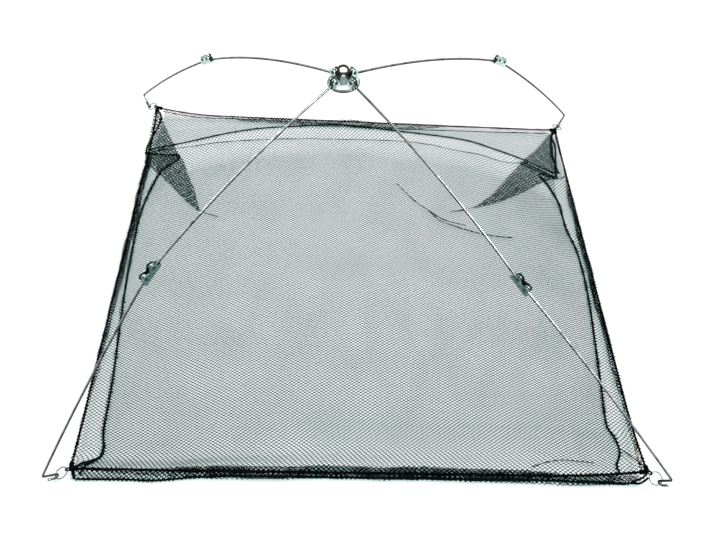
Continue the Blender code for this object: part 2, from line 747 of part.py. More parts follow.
def add_floor():
    """The netting floor: a coarse diamond lattice in place of the real fine mesh."""
    bm = bmesh.new()
    cells = 2 * FLOOR_DIAMONDS
    bmesh.ops.create_grid(bm, x_segments=cells, y_segments=cells, size=math.sqrt(0.5))
    bmesh.ops.rotate(bm, verts=bm.verts, matrix=Matrix.Rotation(math.radians(45), 3, "Z"))
    for normal in ((1, 0, 0), (-1, 0, 0), (0, 1, 0), (0, -1, 0)):
        parts = bm.verts[:] + bm.edges[:] + bm.faces[:]
        bmesh.ops.bisect_plane(
            bm, geom=parts, dist=1e-5, plane_co=Vector(normal) / 2, plane_no=normal, clear_outer=True
        )
    width = (floor_corner("near", "right") - floor_corner("left", "near")).length
    cells = bm.faces[:]
    bmesh.ops.inset_individual(bm, faces=cells, thickness=FLOOR_BAR_WIDTH / 2 / width, use_even_offset=True)
    bmesh.ops.delete(bm, geom=cells, context="FACES")
    middle = floor_point(0.5, 0.5)
    for vert in bm.verts:
        u, v = vert.co.x + 0.5, vert.co.y + 0.5
        pull = 16 * u * (1 - u) * v * (1 - v)
        flat = floor_point(u, v) - middle * pull
        vert.co = (flat.x, flat.y, 0)
    bmesh.ops.recalc_face_normals(bm, faces=bm.faces)
    if bm.faces[0].normal.z < 0:
        bmesh.ops.reverse_faces(bm, faces=bm.faces)
    mesh = bpy.data.meshes.new("net_floor")
    bm.to_mesh(mesh)
    bm.free()
    floor = bpy.data.objects.new("net_floor", mesh)
    finish_part(floor, NETTING)
    solid = floor.modifiers.new("Thickness", "SOLIDIFY")
    solid.thickness = FLOOR_THICKNESS
    solid.offset = 1


def loft(name, rows, thickness, spec):
    """A folded sheet through rows of points, given its thickness."""
    mesh = bpy.data.meshes.new(name)
    bm = bmesh.new()
    lines = [[bm.verts.new(point) for point in row] for row in rows]
    for line, after in zip(lines, lines[1:]):
        for column in range(len(line) - 1):
            bm.faces.new((line[column], line[column + 1], after[column + 1], after[column]))
    bmesh.ops.recalc_face_normals(bm, faces=bm.faces)
    bm.to_mesh(mesh)
    bm.free()
    smooth_shaded(mesh, 60)
    obj = bpy.data.objects.new(name, mesh)
    finish_part(obj, spec)
    solid = obj.modifiers.new("Thickness", "SOLIDIFY")
    solid.thickness = thickness
    solid.offset = 0
    solid.use_even_offset = True


def nearest_inset(side, share):
    """How far inside the top rope the bottom rope lies at this share of the edge."""
    start, end = (CORNERS[name].to_2d() for name in SIDES[side])
    run = (end - start).normalized()
    inward = Vector((-run.y, run.x))
    want = share * (end - start).length
    best = min(
        (route_share(BOTTOM_ROUTES[side], step / 200)[0] for step in range(201)),
        key=lambda point: abs((point.to_2d() - start).dot(run) - want),
    )
    return (best.to_2d() - start).dot(inward)


def wall_section(side, share):
    """Folds of a slack wall, from the bottom rope to under the top rope."""
    inset = nearest_inset(side, share)
    towards_top = -1 if inset > 0 else 1
    base = FLOOR_THICKNESS + GAP + WALL_THICKNESS / 2 if inset < 0 else GAP + WALL_THICKNESS / 2
    start = inset + towards_top * (ROPE_RADIUS + WALL_SIDE_PLAY)
    outer = towards_top * WALL_FOLD_REACH
    inner = start if abs(start) < WALL_FOLD_REACH else -outer
    top = TOP_ROPE_HEIGHT - ROPE_RADIUS - GAP - WALL_THICKNESS / 2
    half = (top - base) / 4
    turn = towards_top * half
    folds = [
        (start, base),
        (outer - turn, base),
        (outer, base + half),
        (outer - turn, base + 2 * half),
        (inner + turn, base + 2 * half),
        (inner, base + 3 * half),
        (inner + turn, base + 4 * half),
        (outer - turn, base + 4 * half),
    ]
    return [edge_point(side, share, across, height) for across, height in folds]


def add_wall(side):
    low, high = WALL_STRETCHES[side]
    rows = []
    for station in range(WALL_STATIONS):
        rows.append(wall_section(side, low + (high - low) * station / (WALL_STATIONS - 1)))
    loft(f"net_wall_{side}", rows, WALL_THICKNESS, NETTING)


def add_tuck(name):
    """The leaf of folded wall at a far corner, lying over the ropes and the floor."""
    corner = CORNERS[name]
    along = (CORNERS["far_right"] - CORNERS["far_left"]).to_2d().normalized()
    down = Vector((along.y, -along.x))
    if name == "far_right":
        along = -along
    along *= edge_length("far") / 1000
    down *= edge_length("right" if name == "far_right" else "left") / 1000
    rows = []
    for outer, inner, height in TUCK_STATIONS[name]:
        row = []
        for share in (0, 0.5, 1):
            across = outer[0] + (inner[0] - outer[0]) * share
            fall = outer[1] + (inner[1] - outer[1]) * share
            flat = corner.to_2d() + along * across + down * fall
            row.append(Vector((flat.x, flat.y, 2 * ROPE_RADIUS + height * MM)))
        rows.append(row)
    loft(f"{name}_tuck", rows, TUCK_THICKNESS, NETTING)


def gather(side_before, side_after, lift=0):
    """Where two bottom ropes end at one corner."""
    ends = (BOTTOM_ROUTES[side_before][-1] + BOTTOM_ROUTES[side_after][0]) / 2
    return ends + Vector((0, 0, lift))


def add_seams():
    """Short seams at the near corners, long ones that reach the gathers at the far corners."""
    left = gather("far", "left")
    beside = SEAM_RADIUS + ROPE_RADIUS + GATHER_PLAY
    low = SEAM_RADIUS + GAP
    corner = CORNERS["far_left"]
    outer = BOTTOM_ROUTES["left"][0].x - SEAM_RADIUS - GATHER_PLAY
    add_seam("far_left", [
        Vector((corner.x + 2 * beside, corner.y - 20 * MM, 16 * MM)),
        Vector((corner.x + beside, corner.y - 60 * MM, 10 * MM)),
        Vector((outer, left.y + 20 * MM, low + ROPE_RADIUS)),
        Vector((outer, left.y - 10 * MM, low + 1 * MM)),
    ])
    right = gather("right", "far")
    corner = CORNERS["far_right"]
    outer = BOTTOM_ROUTES["far"][0].x + SEAM_RADIUS + ROPE_RADIUS * 0.7 + GATHER_PLAY
    add_seam("far_right", [
        Vector((corner.x - 2 * beside, corner.y - 20 * MM, 9 * MM)),
        Vector((corner.x - beside, corner.y - 60 * MM, 8 * MM)),
        Vector((outer, right.y + 20 * MM, low + ROPE_RADIUS)),
        Vector((outer, right.y - 10 * MM, low + 1 * MM)),
    ])
    foot = BOTTOM_ROUTES["near"][0]
    add_seam("near_left", [Vector((foot.x - SEAM_RADIUS - GATHER_PLAY, foot.y, low))])
    foot = BOTTOM_ROUTES["near"][-1]
    corner = CORNERS["near_right"]
    add_seam("near_right", [
        Vector((corner.x - beside, corner.y - 4 * MM, corner.z / 2)),
        Vector((foot.x + SEAM_RADIUS + GATHER_PLAY, foot.y, low)),
    ])


clear_scene()
PARTS = new_collection("Lift net")
CUTTERS = new_collection("Cutters")
HUB_HEIGHT = standing_height()
CORNERS = {name: rope_corner(name) for name in ARMS}
BOTTOM_ROUTES = {side: bottom_route(side) for side in SIDES}

RIVET = rivet_mesh()
LINK = link_mesh()
for arm_name, arm_data in ARMS.items():
    add_arm(arm_name, arm_data, RIVET, LINK)
add_hub()

RING = torus_mesh("corner_ring", RING_RADIUS, RING_WIRE_RADIUS, 20, 6)
LOOP = torus_mesh("corner_loop", LOOP_RADIUS, LOOP_CORD_RADIUS, 10, 6)
for arm_name in ARMS:
    add_corner(arm_name, RING, LOOP)
for side_name in SIDES:
    tube(f"top_rope_{side_name}", top_route(side_name), ROPE_RADIUS, ROPE)
    tube(f"bottom_rope_{side_name}", BOTTOM_ROUTES[side_name], ROPE_RADIUS, ROPE)
    add_wall(side_name)
add_seams()
add_floor()
for arm_name in TUCK_STATIONS:
    add_tuck(arm_name)

print(f"hub rivets stand at {HUB_HEIGHT / MM:.1f} mm")
for corner_name, corner_place in CORNERS.items():
    print(corner_name, "rope corner", [round(value / MM, 1) for value in corner_place], "mm")
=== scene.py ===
# %% [markdown]
# # A square lift net
# The object is a shallow bag of fine black netting, about 1 m a side, spread on the ground. Four
# sprung steel arms stand over it. Each is two rods that fold at a riveted link. They meet in a
# stamped hub with a lifting eye, and each ends in a hook that holds a wire ring at one corner.
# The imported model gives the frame: places, sizes and joints. This script makes the fine surfaces.

import json
import math

import bmesh
import bpy
import numpy as np
from mathutils import Euler, Matrix, Vector


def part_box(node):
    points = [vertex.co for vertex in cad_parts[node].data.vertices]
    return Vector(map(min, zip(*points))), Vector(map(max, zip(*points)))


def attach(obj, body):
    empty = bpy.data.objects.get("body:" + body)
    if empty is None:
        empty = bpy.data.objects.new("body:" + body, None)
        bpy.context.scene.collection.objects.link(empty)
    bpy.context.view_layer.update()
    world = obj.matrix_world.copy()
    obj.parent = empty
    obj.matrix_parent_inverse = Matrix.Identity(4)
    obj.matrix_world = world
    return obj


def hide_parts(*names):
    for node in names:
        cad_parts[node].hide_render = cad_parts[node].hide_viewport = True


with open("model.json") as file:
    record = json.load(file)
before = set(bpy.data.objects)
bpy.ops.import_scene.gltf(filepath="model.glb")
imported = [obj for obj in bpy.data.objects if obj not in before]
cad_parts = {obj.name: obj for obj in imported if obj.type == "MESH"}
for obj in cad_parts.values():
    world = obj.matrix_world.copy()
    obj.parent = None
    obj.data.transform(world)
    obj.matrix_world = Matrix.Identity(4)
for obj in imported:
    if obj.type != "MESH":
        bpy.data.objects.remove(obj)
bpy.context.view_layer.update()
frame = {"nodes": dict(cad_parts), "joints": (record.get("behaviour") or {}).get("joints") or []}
JOINT_AT = {joint["name"]: Vector(joint["pos_m"]) for joint in frame["joints"]}

# %% [markdown]
# ## Camera
# The view is nearly square on to the near edge and looks down at 48 degrees, so the near edge is
# wider than the far one. The camera is placed by its distance and angles from a point on the net,
# which is easier to reason about than a position and a rotation.

# %% Camera
CAMERA_TARGET = Vector((0.025, 0.003, 0.0))
CAMERA_DISTANCE = 1.879
CAMERA_AZIMUTH = math.radians(1.0)
CAMERA_ELEVATION = math.radians(48.2)
FOCAL_PIXELS = 869.9
IMAGE_WIDTH = 716
SENSOR_WIDTH = 36


def new_object(name, data):
    thing = bpy.data.objects.new(name, data)
    bpy.context.scene.collection.objects.link(thing)
    return thing


def set_up(thing, settings):
    """Give a thing its settings by name, in the order in which they come."""
    for name, setting in settings.items():
        setattr(thing, name, setting)


camera = new_object("camera", bpy.data.cameras.new("camera"))
lens = FOCAL_PIXELS * SENSOR_WIDTH / IMAGE_WIDTH
set_up(camera.data, {"sensor_fit": "HORIZONTAL", "sensor_width": SENSOR_WIDTH, "lens": lens})
level = math.cos(CAMERA_ELEVATION)
aside, towards = math.sin(CAMERA_AZIMUTH) * level, math.cos(CAMERA_AZIMUTH) * level
back = Vector((aside, -towards, math.sin(CAMERA_ELEVATION)))
camera.location = CAMERA_TARGET + back * CAMERA_DISTANCE
camera.rotation_euler = back.to_track_quat("Z", "Y").to_euler()
bpy.context.scene.camera = camera
print("camera at", tuple(round(value, 3) for value in camera.location), "lens", round(camera.data.lens, 2))

# %% [markdown]
# ## Shader maths
# Procedural finishes are sums and products of noise. Wiring each Math node by hand hides the
# formula, so one small class stands for a socket and adds the node when Python meets an operator.
# Every other node comes from one method of the node tree that it stands in.

# %% A value in a shader
class Value:
    """An output socket that can be used in Python expressions."""

    def __init__(self, nodes, socket):
        self.nodes = nodes
        self.socket = socket

    def maths(self, operation, *operands):
        return self.nodes.node("ShaderNodeMath", {"operation": operation}, dict(enumerate(operands)))

    def __add__(self, other):
        return self.maths("ADD", self, other)

    def __sub__(self, other):
        return self.maths("SUBTRACT", self, other)

    def __rsub__(self, other):
        return self.maths("SUBTRACT", other, self)

    def __mul__(self, other):
        return self.maths("MULTIPLY", self, other)

    __radd__ = __add__
    __rmul__ = __mul__


class Nodes:
    """A node tree, and the method that adds a node of any kind to it."""

    def __init__(self, tree):
        self.tree = tree

    def feed(self, socket, value):
        if isinstance(value, Value):
            self.tree.links.new(value.socket, socket)
        else:
            socket.default_value = (*value, 1.0) if socket.type == "RGBA" else value

    def node(self, kind, settings=(), values=(), output=0):
        """A node of the kind: its settings first, then its sockets by name or place."""
        node = self.tree.nodes.new(kind)
        set_up(node, dict(settings))
        for name, value in dict(values).items():
            self.feed(node.inputs[name], value)
        return Value(self, node.outputs[output])


print("shader maths ready")

# %% A finish
class Finish(Nodes):
    """A material with a Principled shader."""

    def __init__(self, name, colour, roughness, metallic=0.0, specular=0.5):
        self.material = bpy.data.materials.new(name)
        self.material.use_nodes = True
        self.material.diffuse_color = (*colour, 1.0)
        super().__init__(self.material.node_tree)
        self.set("Base Color", colour)
        self.set("Roughness", roughness)
        self.set("Metallic", metallic)
        self.set("Specular IOR Level", specular)

    def set(self, name, value):
        self.feed(self.tree.nodes["Principled BSDF"].inputs[name], value)

    def place(self):
        """Where a point lies on the object at rest, in metres."""
        return self.node("ShaderNodeTexCoord", output="Object")

    def normal_height(self):
        """How far the surface faces up, in the piece's own directions: 1 is up and -1 is down."""
        normal = self.node("ShaderNodeTexCoord", output="Normal")
        return self.node("ShaderNodeSeparateXYZ", values={"Vector": normal}, output="Z")

    def noise(self, scale, detail):
        values = {"Vector": self.place(), "Scale": scale, "Detail": detail, "Roughness": 0.6}
        return self.node("ShaderNodeTexNoise", values=values)

    def between(self, value, low, high):
        """The value stretched so that low becomes 0 and high becomes 1, and kept there."""
        return self.node("ShaderNodeMapRange", values={"Value": value, "From Min": low, "From Max": high})

    def mix(self, factor, first, second):
        return self.node("ShaderNodeMix", {"data_type": "RGBA"}, {0: factor, 6: first, 7: second}, output=2)

    def bump(self, height, distance):
        values = {"Strength": 1.0, "Distance": distance, "Height": height}
        self.set("Normal", self.node("ShaderNodeBump", values=values))


print("finish helpers ready")

# %% [markdown]
# ## Metal finishes
# The rods are drawn spring wire with a thin zinc plate: satin grey, with fine lines along the
# wire and duller patches, and painted shade darkens their undersides. The links and the hub are
# stamped from sheet and plated. The pale blue-green of the far links and the hub is partly the
# plating's own colour and partly a painted highlight; the near links get a darker copy of it as
# painted shade, and the faces inside the channels are painted near black as shade. The lifting eye
# is forged and darker. Noise with a mild contrast gives the patches, and a finer noise moves the
# roughness and the surface. The piece's own normal tells which side is underneath, where the shade is
# painted.

# %% Zinc and steel
def plated_metal(name, pale, dull, roughness, patch, grain, metallic=1.0, painted_underside_shade=None):
    finish = Finish(name, pale, roughness, metallic)
    patches = finish.between(finish.noise(patch, 4.0), 0.38, 0.68)
    specks = finish.noise(grain, 2.0)
    colour = finish.mix(patches, pale, dull)
    # Painted shade: the side that faces down, by the piece's own normal, is mixed towards near black.
    if painted_underside_shade:
        shade_underneath = 1 - finish.between(finish.normal_height(), 0.42, 0.74)
        colour = finish.mix(shade_underneath * 0.9, colour, painted_underside_shade)
    finish.set("Base Color", colour)
    finish.set("Roughness", patches * 0.1 + specks * 0.16 + (roughness - 0.12))
    finish.bump(specks, 0.00008)
    return finish.material


# The last colour given to the wire is painted shade for its underside.
WIRE_ZINC = plated_metal(
    "zinc_wire", (0.66, 0.74, 0.71), (0.16, 0.21, 0.20), 0.28, 60.0, 900.0, painted_underside_shade=(0.004, 0.006, 0.0055)
)
RING_ZINC = plated_metal("zinc_ring", (0.26, 0.32, 0.31), (0.07, 0.10, 0.095), 0.32, 160.0, 900.0)
# Lit and shaded copies of one sheet finish: the pale one is partly the plating's own colour and partly a
# painted highlight, the darker one is painted shade.
SHEET_LIT = plated_metal("lit_zinc_sheet", (0.60, 0.79, 0.76), (0.22, 0.36, 0.34), 0.26, 150.0, 1200.0)
SHEET_SHADED = plated_metal("shaded_zinc_sheet", (0.27, 0.44, 0.42), (0.05, 0.11, 0.105), 0.3, 170.0, 1200.0)
# Near black for the faces inside the channels: painted shade in the folds.
SHEET_INSIDE_SHADE = plated_metal(
    "sheet_inside_painted_shade", (0.012, 0.02, 0.02), (0.003, 0.006, 0.006), 0.6, 110.0, 1200.0, metallic=0.3
)
RIVET_ZINC = plated_metal("rivet_steel", (0.10, 0.14, 0.135), (0.02, 0.03, 0.03), 0.32, 260.0, 1500.0)
FORGED_STEEL = plated_metal("forged_steel", (0.10, 0.105, 0.075), (0.018, 0.02, 0.015), 0.34, 160.0, 1500.0)
print("metal finishes from", WIRE_ZINC.name, "to", FORGED_STEEL.name)

# %% [markdown]
# ## Cord and netting finishes
# The rope and the netting are black polyester. It isn't a perfect black: the filaments catch the
# light, and worn filaments look a little grey-green. The twine's colour varies over centimetres,
# so that a square metre of netting doesn't look printed.

# %% Rope and twine
def black_fibre(name, dark, worn, roughness, patch):
    finish = Finish(name, dark, roughness, 0.0, 0.05)
    wear = finish.between(finish.noise(patch, 5.0), 0.42, 0.72)
    finish.set("Base Color", finish.mix(wear, dark, worn))
    finish.bump(finish.noise(2500.0, 2.0), 0.0001)
    return finish.material


ROPE_BLACK = black_fibre("rope_black", (0.0008, 0.0012, 0.0012), (0.005, 0.007, 0.0065), 0.9, 220.0)
TWINE_BLACK = black_fibre("twine_black", (0.0015, 0.007, 0.006), (0.005, 0.019, 0.0165), 0.85, 30.0)
print("fibre finishes", ROPE_BLACK.name, TWINE_BLACK.name)

# %% [markdown]
# ## The arms' shape
# All four arms are the same piece, but sprung steel never stands quite alike, so each has its own
# heading and its own droop. The curves are worked out once in the arm's own vertical plane, with
# X along the piece and Z up, and then set on the joints that the frame gives.

# %% Sizes of the metal parts
MM = 0.001
GAP = 0.3 * MM
ROD_RADIUS = 2.25 * MM
RIVET_RADIUS = 2.0 * MM
EYE_RADIUS = RIVET_RADIUS + GAP + ROD_RADIUS
INNER_SPAN, INNER_BOW = 438 * MM, 14.5 * MM
OUTER_SPAN, OUTER_BOW = 414 * MM, 6.7 * MM
HOOK_LEG, HOOK_RETURN, HOOK_GAP = 34 * MM, 17 * MM, 10 * MM
HOOK_BEND = 4.5 * MM
CHANNEL_WIDTH = 12 * MM
# heading, inner droop, outer droop, ring's turn and ring's roll, in degrees
ARMS = {
    "far_left": (134.1, 23.4, 39.6, 14.5, -15),
    "far_right": (43.4, 21.9, 45.1, 19.1, 10),
    "near_right": (-42.1, 28.6, 33.1, 2.5, 12),
    "near_left": (-135.0, 20.9, 46.7, -20.2, 8),
}


def link_droop(name):
    _, inner, outer, _, _ = ARMS[name]
    rise = math.degrees(math.atan(4 * INNER_BOW / INNER_SPAN) - math.atan(4 * OUTER_BOW / OUTER_SPAN))
    return (inner + outer + rise) / 2


def arm_place(name, joint, droop):
    """Where a joint stands, with X along a piece that droops from it."""
    turn = Euler((0, math.radians(droop), math.radians(ARMS[name][0]))).to_matrix().to_4x4()
    return Matrix.Translation(JOINT_AT[f"{joint}_{name}"]) @ turn


print("link droops", {name: round(link_droop(name), 1) for name in ARMS})

# %% [markdown]
# ## Bent wire
# A bent rod is a path and a round section. A curve object with a bevel gives that, but its ends
# are hard edged. Here the path is swept in mesh code, so that the cut ends get a small chamfer, as
# a sheared and tumbled wire has.

# %% Sweep a round section along a path
def mesh_from(name, arrays, material):
    """A mesh from arrays of points and of faces with four corners each, less any face given twice."""
    points = np.asarray(arrays[0], np.float32)
    quads = np.asarray(arrays[1], np.int32)
    mesh = bpy.data.meshes.new(name)
    mesh.vertices.add(len(points))
    mesh.vertices.foreach_set("co", points.ravel())
    mesh.loops.add(quads.size)
    mesh.loops.foreach_set("vertex_index", quads.ravel())
    mesh.polygons.add(len(quads))
    mesh.polygons.foreach_set("loop_start", np.arange(0, quads.size, 4, dtype=np.int32))
    mesh.update(calc_edges=True)
    mesh.validate()
    mesh.shade_smooth()
    mesh.materials.append(material)
    return mesh


def unit(vectors):
    return vectors / np.maximum(np.linalg.norm(vectors, axis=-1), 1e-9)[..., None]


def frames_along(path):
    """Tangent, side and up at each point of a path, turning as little as they can."""
    tangent = unit(np.gradient(path, axis=0))
    start = np.array([0.0, 0.0, 1.0]) if abs(tangent[0][2]) < 0.9 else np.array([1.0, 0.0, 0.0])
    up = np.empty_like(path)
    for i, along in enumerate(tangent):
        before = up[i - 1] if i else start
        up[i] = unit(before - along * before.dot(along))
    return tangent, np.cross(tangent, up), up


def sweep(path, radii, side, up, sides):
    """Points and faces of a tube with closed ends, from the directions across its path."""
    angles = np.arange(sides)[:, None] * 2 * math.pi / sides
    ring = side[:, None] * np.cos(angles) + up[:, None] * np.sin(angles)
    points = (path[:, None] + ring * radii).reshape(-1, 3)
    rings = np.arange(len(path) - 1)[:, None] * sides
    first, second = rings + np.arange(sides), rings + (np.arange(sides) + 1) % sides
    quads = np.stack([first, second, second + sides, first + sides], axis=-1).reshape(-1, 4)
    caps = []
    for rim in (np.arange(sides)[::-1], first[-1] + sides):
        caps += [[rim[0], *rim[k + 1:k + 4]] for k in range(0, sides - 2, 2)]
    return points, np.concatenate([quads, caps])


def tube_arrays(path, radius, sides):
    """One round tube, closed at both ends by a shrunken ring."""
    tangent, side, up = frames_along(path)
    chamfer = radius * 0.25
    ends = path[0] - tangent[0] * chamfer, path[-1] + tangent[-1] * chamfer
    path = np.concatenate([[ends[0]], path, [ends[1]]])
    radii = np.full((len(path), 1, 1), radius)
    radii[0] = radii[-1] = radius - chamfer
    side, up = (np.concatenate([ways[:1], ways, ways[-1:]]) for ways in (side, up))
    return sweep(path, radii, side, up, sides)


def joined(parts):
    """The points and faces of several tubes or sheets as one."""
    starts = np.cumsum([0] + [len(points) for points, _ in parts])
    quads = [faces + start for (_, faces), start in zip(parts, starts)]
    return np.concatenate([points for points, _ in parts]), np.concatenate(quads)


print("tube sweep ready")

# %% Smooth paths
def smooth_path(points, spacing):
    """Points about the spacing apart on a smooth curve through the given ones."""
    points = np.asarray(points, float)
    ends = np.vstack([2 * points[0] - points[1], points, 2 * points[-1] - points[-2]])
    route = []
    for before, start, end, after in zip(ends, ends[1:], ends[2:], ends[3:]):
        steps = max(1, round(np.linalg.norm(end - start) / spacing))
        for t in np.arange(steps) / steps:
            route.append(
                (2 * start + (end - before) * t + (2 * before - 5 * start + 4 * end - after) * t * t
                 + (3 * start - before - 3 * end + after) * t ** 3) / 2
            )
    return np.array(route + [points[-1]])


def distances(path):
    """How far along a path each of its points lies."""
    return np.concatenate([[0], np.cumsum(np.linalg.norm(np.diff(path, axis=0), axis=1))])


def at_distances(path, at):
    along = distances(path)
    return np.stack([np.interp(at, along, values) for values in path.T], axis=-1)


def evenly(path, spacing):
    """The same path with points about the spacing apart, and its length."""
    length = distances(path)[-1]
    return at_distances(path, np.linspace(0, length, max(2, round(length / spacing) + 1))), length


def in_arm_plane(pairs):
    return np.array([(along, 0.0, up) for along, up in pairs])


print("path helpers ready")

# %% [markdown]
# ## Spring rods
# One rod is bent from one wire. It starts in a curl round a rivet, runs out with a slight bow,
# and the outer one ends in the hook: a square bend, a leg back towards the bag, and a U-turn.
# The curl's radius is the rivet's plus the wire's and a small gap, so it turns freely.

# %% Rod paths
def arc_pairs(centre, radius, start, end, steps):
    angles = np.linspace(start, end, steps + 1)
    return [(centre[0] + radius * math.cos(a), centre[1] + radius * math.sin(a)) for a in angles]


def curl(slope):
    return arc_pairs((0, 0), EYE_RADIUS, math.radians(-14) + slope, 1.5 * math.pi + slope, 26)[:-1]


def bowed(span, bow, steps=40):
    slope = math.atan(4 * bow / span)
    start = EYE_RADIUS * math.sin(slope), -EYE_RADIUS * math.cos(slope)
    shares = np.arange(steps + 1) / steps
    return slope, start, [(start[0] + span * t, start[1] + 4 * bow * t * (1 - t)) for t in shares]


def inner_rod_path():
    slope, start, body = bowed(INNER_SPAN, INNER_BOW)
    length = INNER_SPAN + 2 * start[0]
    far = [(length - along, up) for along, up in reversed(curl(slope))]
    return in_arm_plane(curl(slope) + body + far)


def bend_points(centre, ahead, aside, radius, end, count):
    """A bend that starts ahead and turns aside."""
    angles = np.linspace(0, end, count)
    return [centre + (ahead * math.sin(a) - aside * math.cos(a)) * radius for a in angles]


def outer_rod_path():
    slope, _, body = bowed(OUTER_SPAN, OUTER_BOW)
    bend = np.array(body[-1])
    leg = np.array([-math.sin(slope), -math.cos(slope)])
    out = np.array([math.cos(slope), -math.sin(slope)])
    centre = bend + (leg - out) * HOOK_BEND
    hook = bend_points(centre, out, leg, HOOK_BEND, math.pi / 2, 9)
    turn = HOOK_GAP / 2
    centre = bend + leg * (HOOK_LEG - turn) + out * turn
    hook += bend_points(centre, leg, out, turn, math.pi, 17)
    hook.append(centre + out * turn - leg * (HOOK_RETURN - turn))
    return in_arm_plane(curl(slope) + body[:-1] + hook)


print("rod paths have", len(inner_rod_path()), "and", len(outer_rod_path()), "points")

# %% Make the eight rods
BAG = "hub_and_net"


def place_piece(piece, body, node, at=None):
    """Set a piece in place, fix it to its body and let it stand for one of the frame's solids."""
    if at and piece.modifiers:
        piece.matrix_world = at
    elif at:
        piece.data.transform(at)
    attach(piece, body)
    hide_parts(node)
    return piece


def make_piece(name, arrays, material, body, node, at=None):
    return place_piece(new_object(name, mesh_from(name, arrays, material)), body, node, at)


for arm, (_, inner_droop, outer_droop, _, _) in ARMS.items():
    for part, joint, path, droop in (
        ("inner", "hub_pivot", inner_rod_path(), inner_droop),
        ("outer", "link_outer_pivot", outer_rod_path(), outer_droop),
    ):
        node, body = f"{part}_rod_{arm}", f"{part}_arm_{arm}"
        place = arm_place(arm, joint, droop)
        make_piece(f"{node}_wire", tube_arrays(path, ROD_RADIUS, 16), WIRE_ZINC, body, node, place)
print("rods made for", list(ARMS))

# %% [markdown]
# ## Links and hub
# A link is a strip of sheet folded into a channel, with two rounded ears on each side that carry
# a rivet each. The hub is four such brackets round one plate. The frame's solids have the right
# shape, so each gets a copy whose sharp sheared edges are rounded a little with a Bevel, because
# only a rounded edge catches a highlight.

# %% Round the sheet-metal edges
CHANNEL_REACH = 40 * MM
SHEET_ROUNDING = 0.35 * MM
WELD = 0.002 * MM
BEND_LEAST = math.radians(40)


def rounded_copy(node, name, material, body, joint, arms):
    """A copy of a folded sheet with its edges rounded, and the insides of its channels painted dark as shade.
    """
    mesh = frame["nodes"][node].data.copy()
    bm = bmesh.new()
    bm.from_mesh(mesh)
    bmesh.ops.remove_doubles(bm, verts=bm.verts, dist=WELD)
    bmesh.ops.dissolve_limit(bm, angle_limit=math.radians(1.5), verts=bm.verts, edges=bm.edges)
    bm.to_mesh(mesh)
    bm.free()
    mesh.materials.clear()
    mesh.materials.append(material)
    mesh.materials.append(SHEET_INSIDE_SHADE)
    # Faces that look into a channel near its pivot take the second material, which is painted shade.
    for arm in arms:
        heading = math.radians(ARMS[arm][0])
        across = Vector((-math.sin(heading), math.cos(heading), 0))
        for face in mesh.polygons:
            offset = face.center - JOINT_AT[f"{joint}_{arm}"]
            facing = face.normal.dot(across)
            inward = abs(facing) > 0.95 and offset.dot(across) * facing < 0
            if inward and offset.to_2d().length < CHANNEL_REACH:
                face.material_index = 1
    piece = new_object(name, mesh)
    settings = {"width": SHEET_ROUNDING, "segments": 2, "limit_method": "ANGLE", "angle_limit": BEND_LEAST}
    set_up(piece.modifiers.new("edges", "BEVEL"), settings)
    mesh.shade_smooth()
    mesh.set_sharp_from_angle(angle=math.radians(38))
    place_piece(piece, body, node)


for arm in ARMS:
    # The far links take the pale, lit copy; the near links take the darker copy, which is painted shade.
    sheet = SHEET_LIT if arm.startswith("far") else SHEET_SHADED
    rounded_copy(f"link_{arm}", f"link_plate_{arm}", sheet, f"link_{arm}", "link_inner_pivot", [arm])
rounded_copy("hub_cross", "hub_bracket_cross", SHEET_LIT, BAG, "hub_pivot", ARMS)
print("links and hub rounded")

# %% [markdown]
# ## Rivets
# A rivet is a turned pin with a pressed dome at each end. A Screw modifier turns half a profile,
# which keeps the dome round at any size.

# %% Rivets
RIVET_HEAD, RIVET_RISE, RIVET_STEPS = 3.4 * MM, 1.3 * MM, 20


def rivet(name, place, body, node):
    half = CHANNEL_WIDTH / 2 + GAP
    angles = np.linspace(0, math.pi / 2, 7)
    dome = [(RIVET_HEAD * math.sin(a), half + RIVET_RISE * math.cos(a)) for a in angles]
    profile = dome + [(RIVET_RADIUS, half)]
    profile += [(across, -up) for across, up in reversed(profile)]
    mesh = bpy.data.meshes.new(name)
    edges = [(i, i + 1) for i in range(len(profile) - 1)]
    mesh.from_pydata([(across, 0, up) for across, up in profile], edges, [])
    mesh.materials.append(RIVET_ZINC)
    piece = new_object(name, mesh)
    settings = {"steps": RIVET_STEPS, "render_steps": RIVET_STEPS, "use_smooth_shade": True}
    settings |= {"use_merge_vertices": True, "merge_threshold": 0.01 * MM}
    set_up(piece.modifiers.new("turned", "SCREW"), settings)
    place_piece(piece, body, node, place)


SQUARE_TURN = Matrix.Rotation(math.radians(90), 4, "X")
for arm in ARMS:
    for pivot, body, droop in (
        ("hub", BAG, 0),
        ("link_inner", f"link_{arm}", link_droop(arm)),
        ("link_outer", f"link_{arm}", link_droop(arm)),
    ):
        node = f"{pivot}_rivet_{arm}"
        rivet(f"{node}_turned", arm_place(arm, f"{pivot}_pivot", droop) @ SQUARE_TURN, body, node)
print("rivets made", 3 * len(ARMS))

# %% [markdown]
# ## Stop ring, lifting eye and corner rings
# These are wire too: a welded ring under the brackets that the arms rest on, an omega of thick
# wire that the hauling rope is tied to, and four thin key rings. A ring is a closed path, so its
# tube is made without ends.

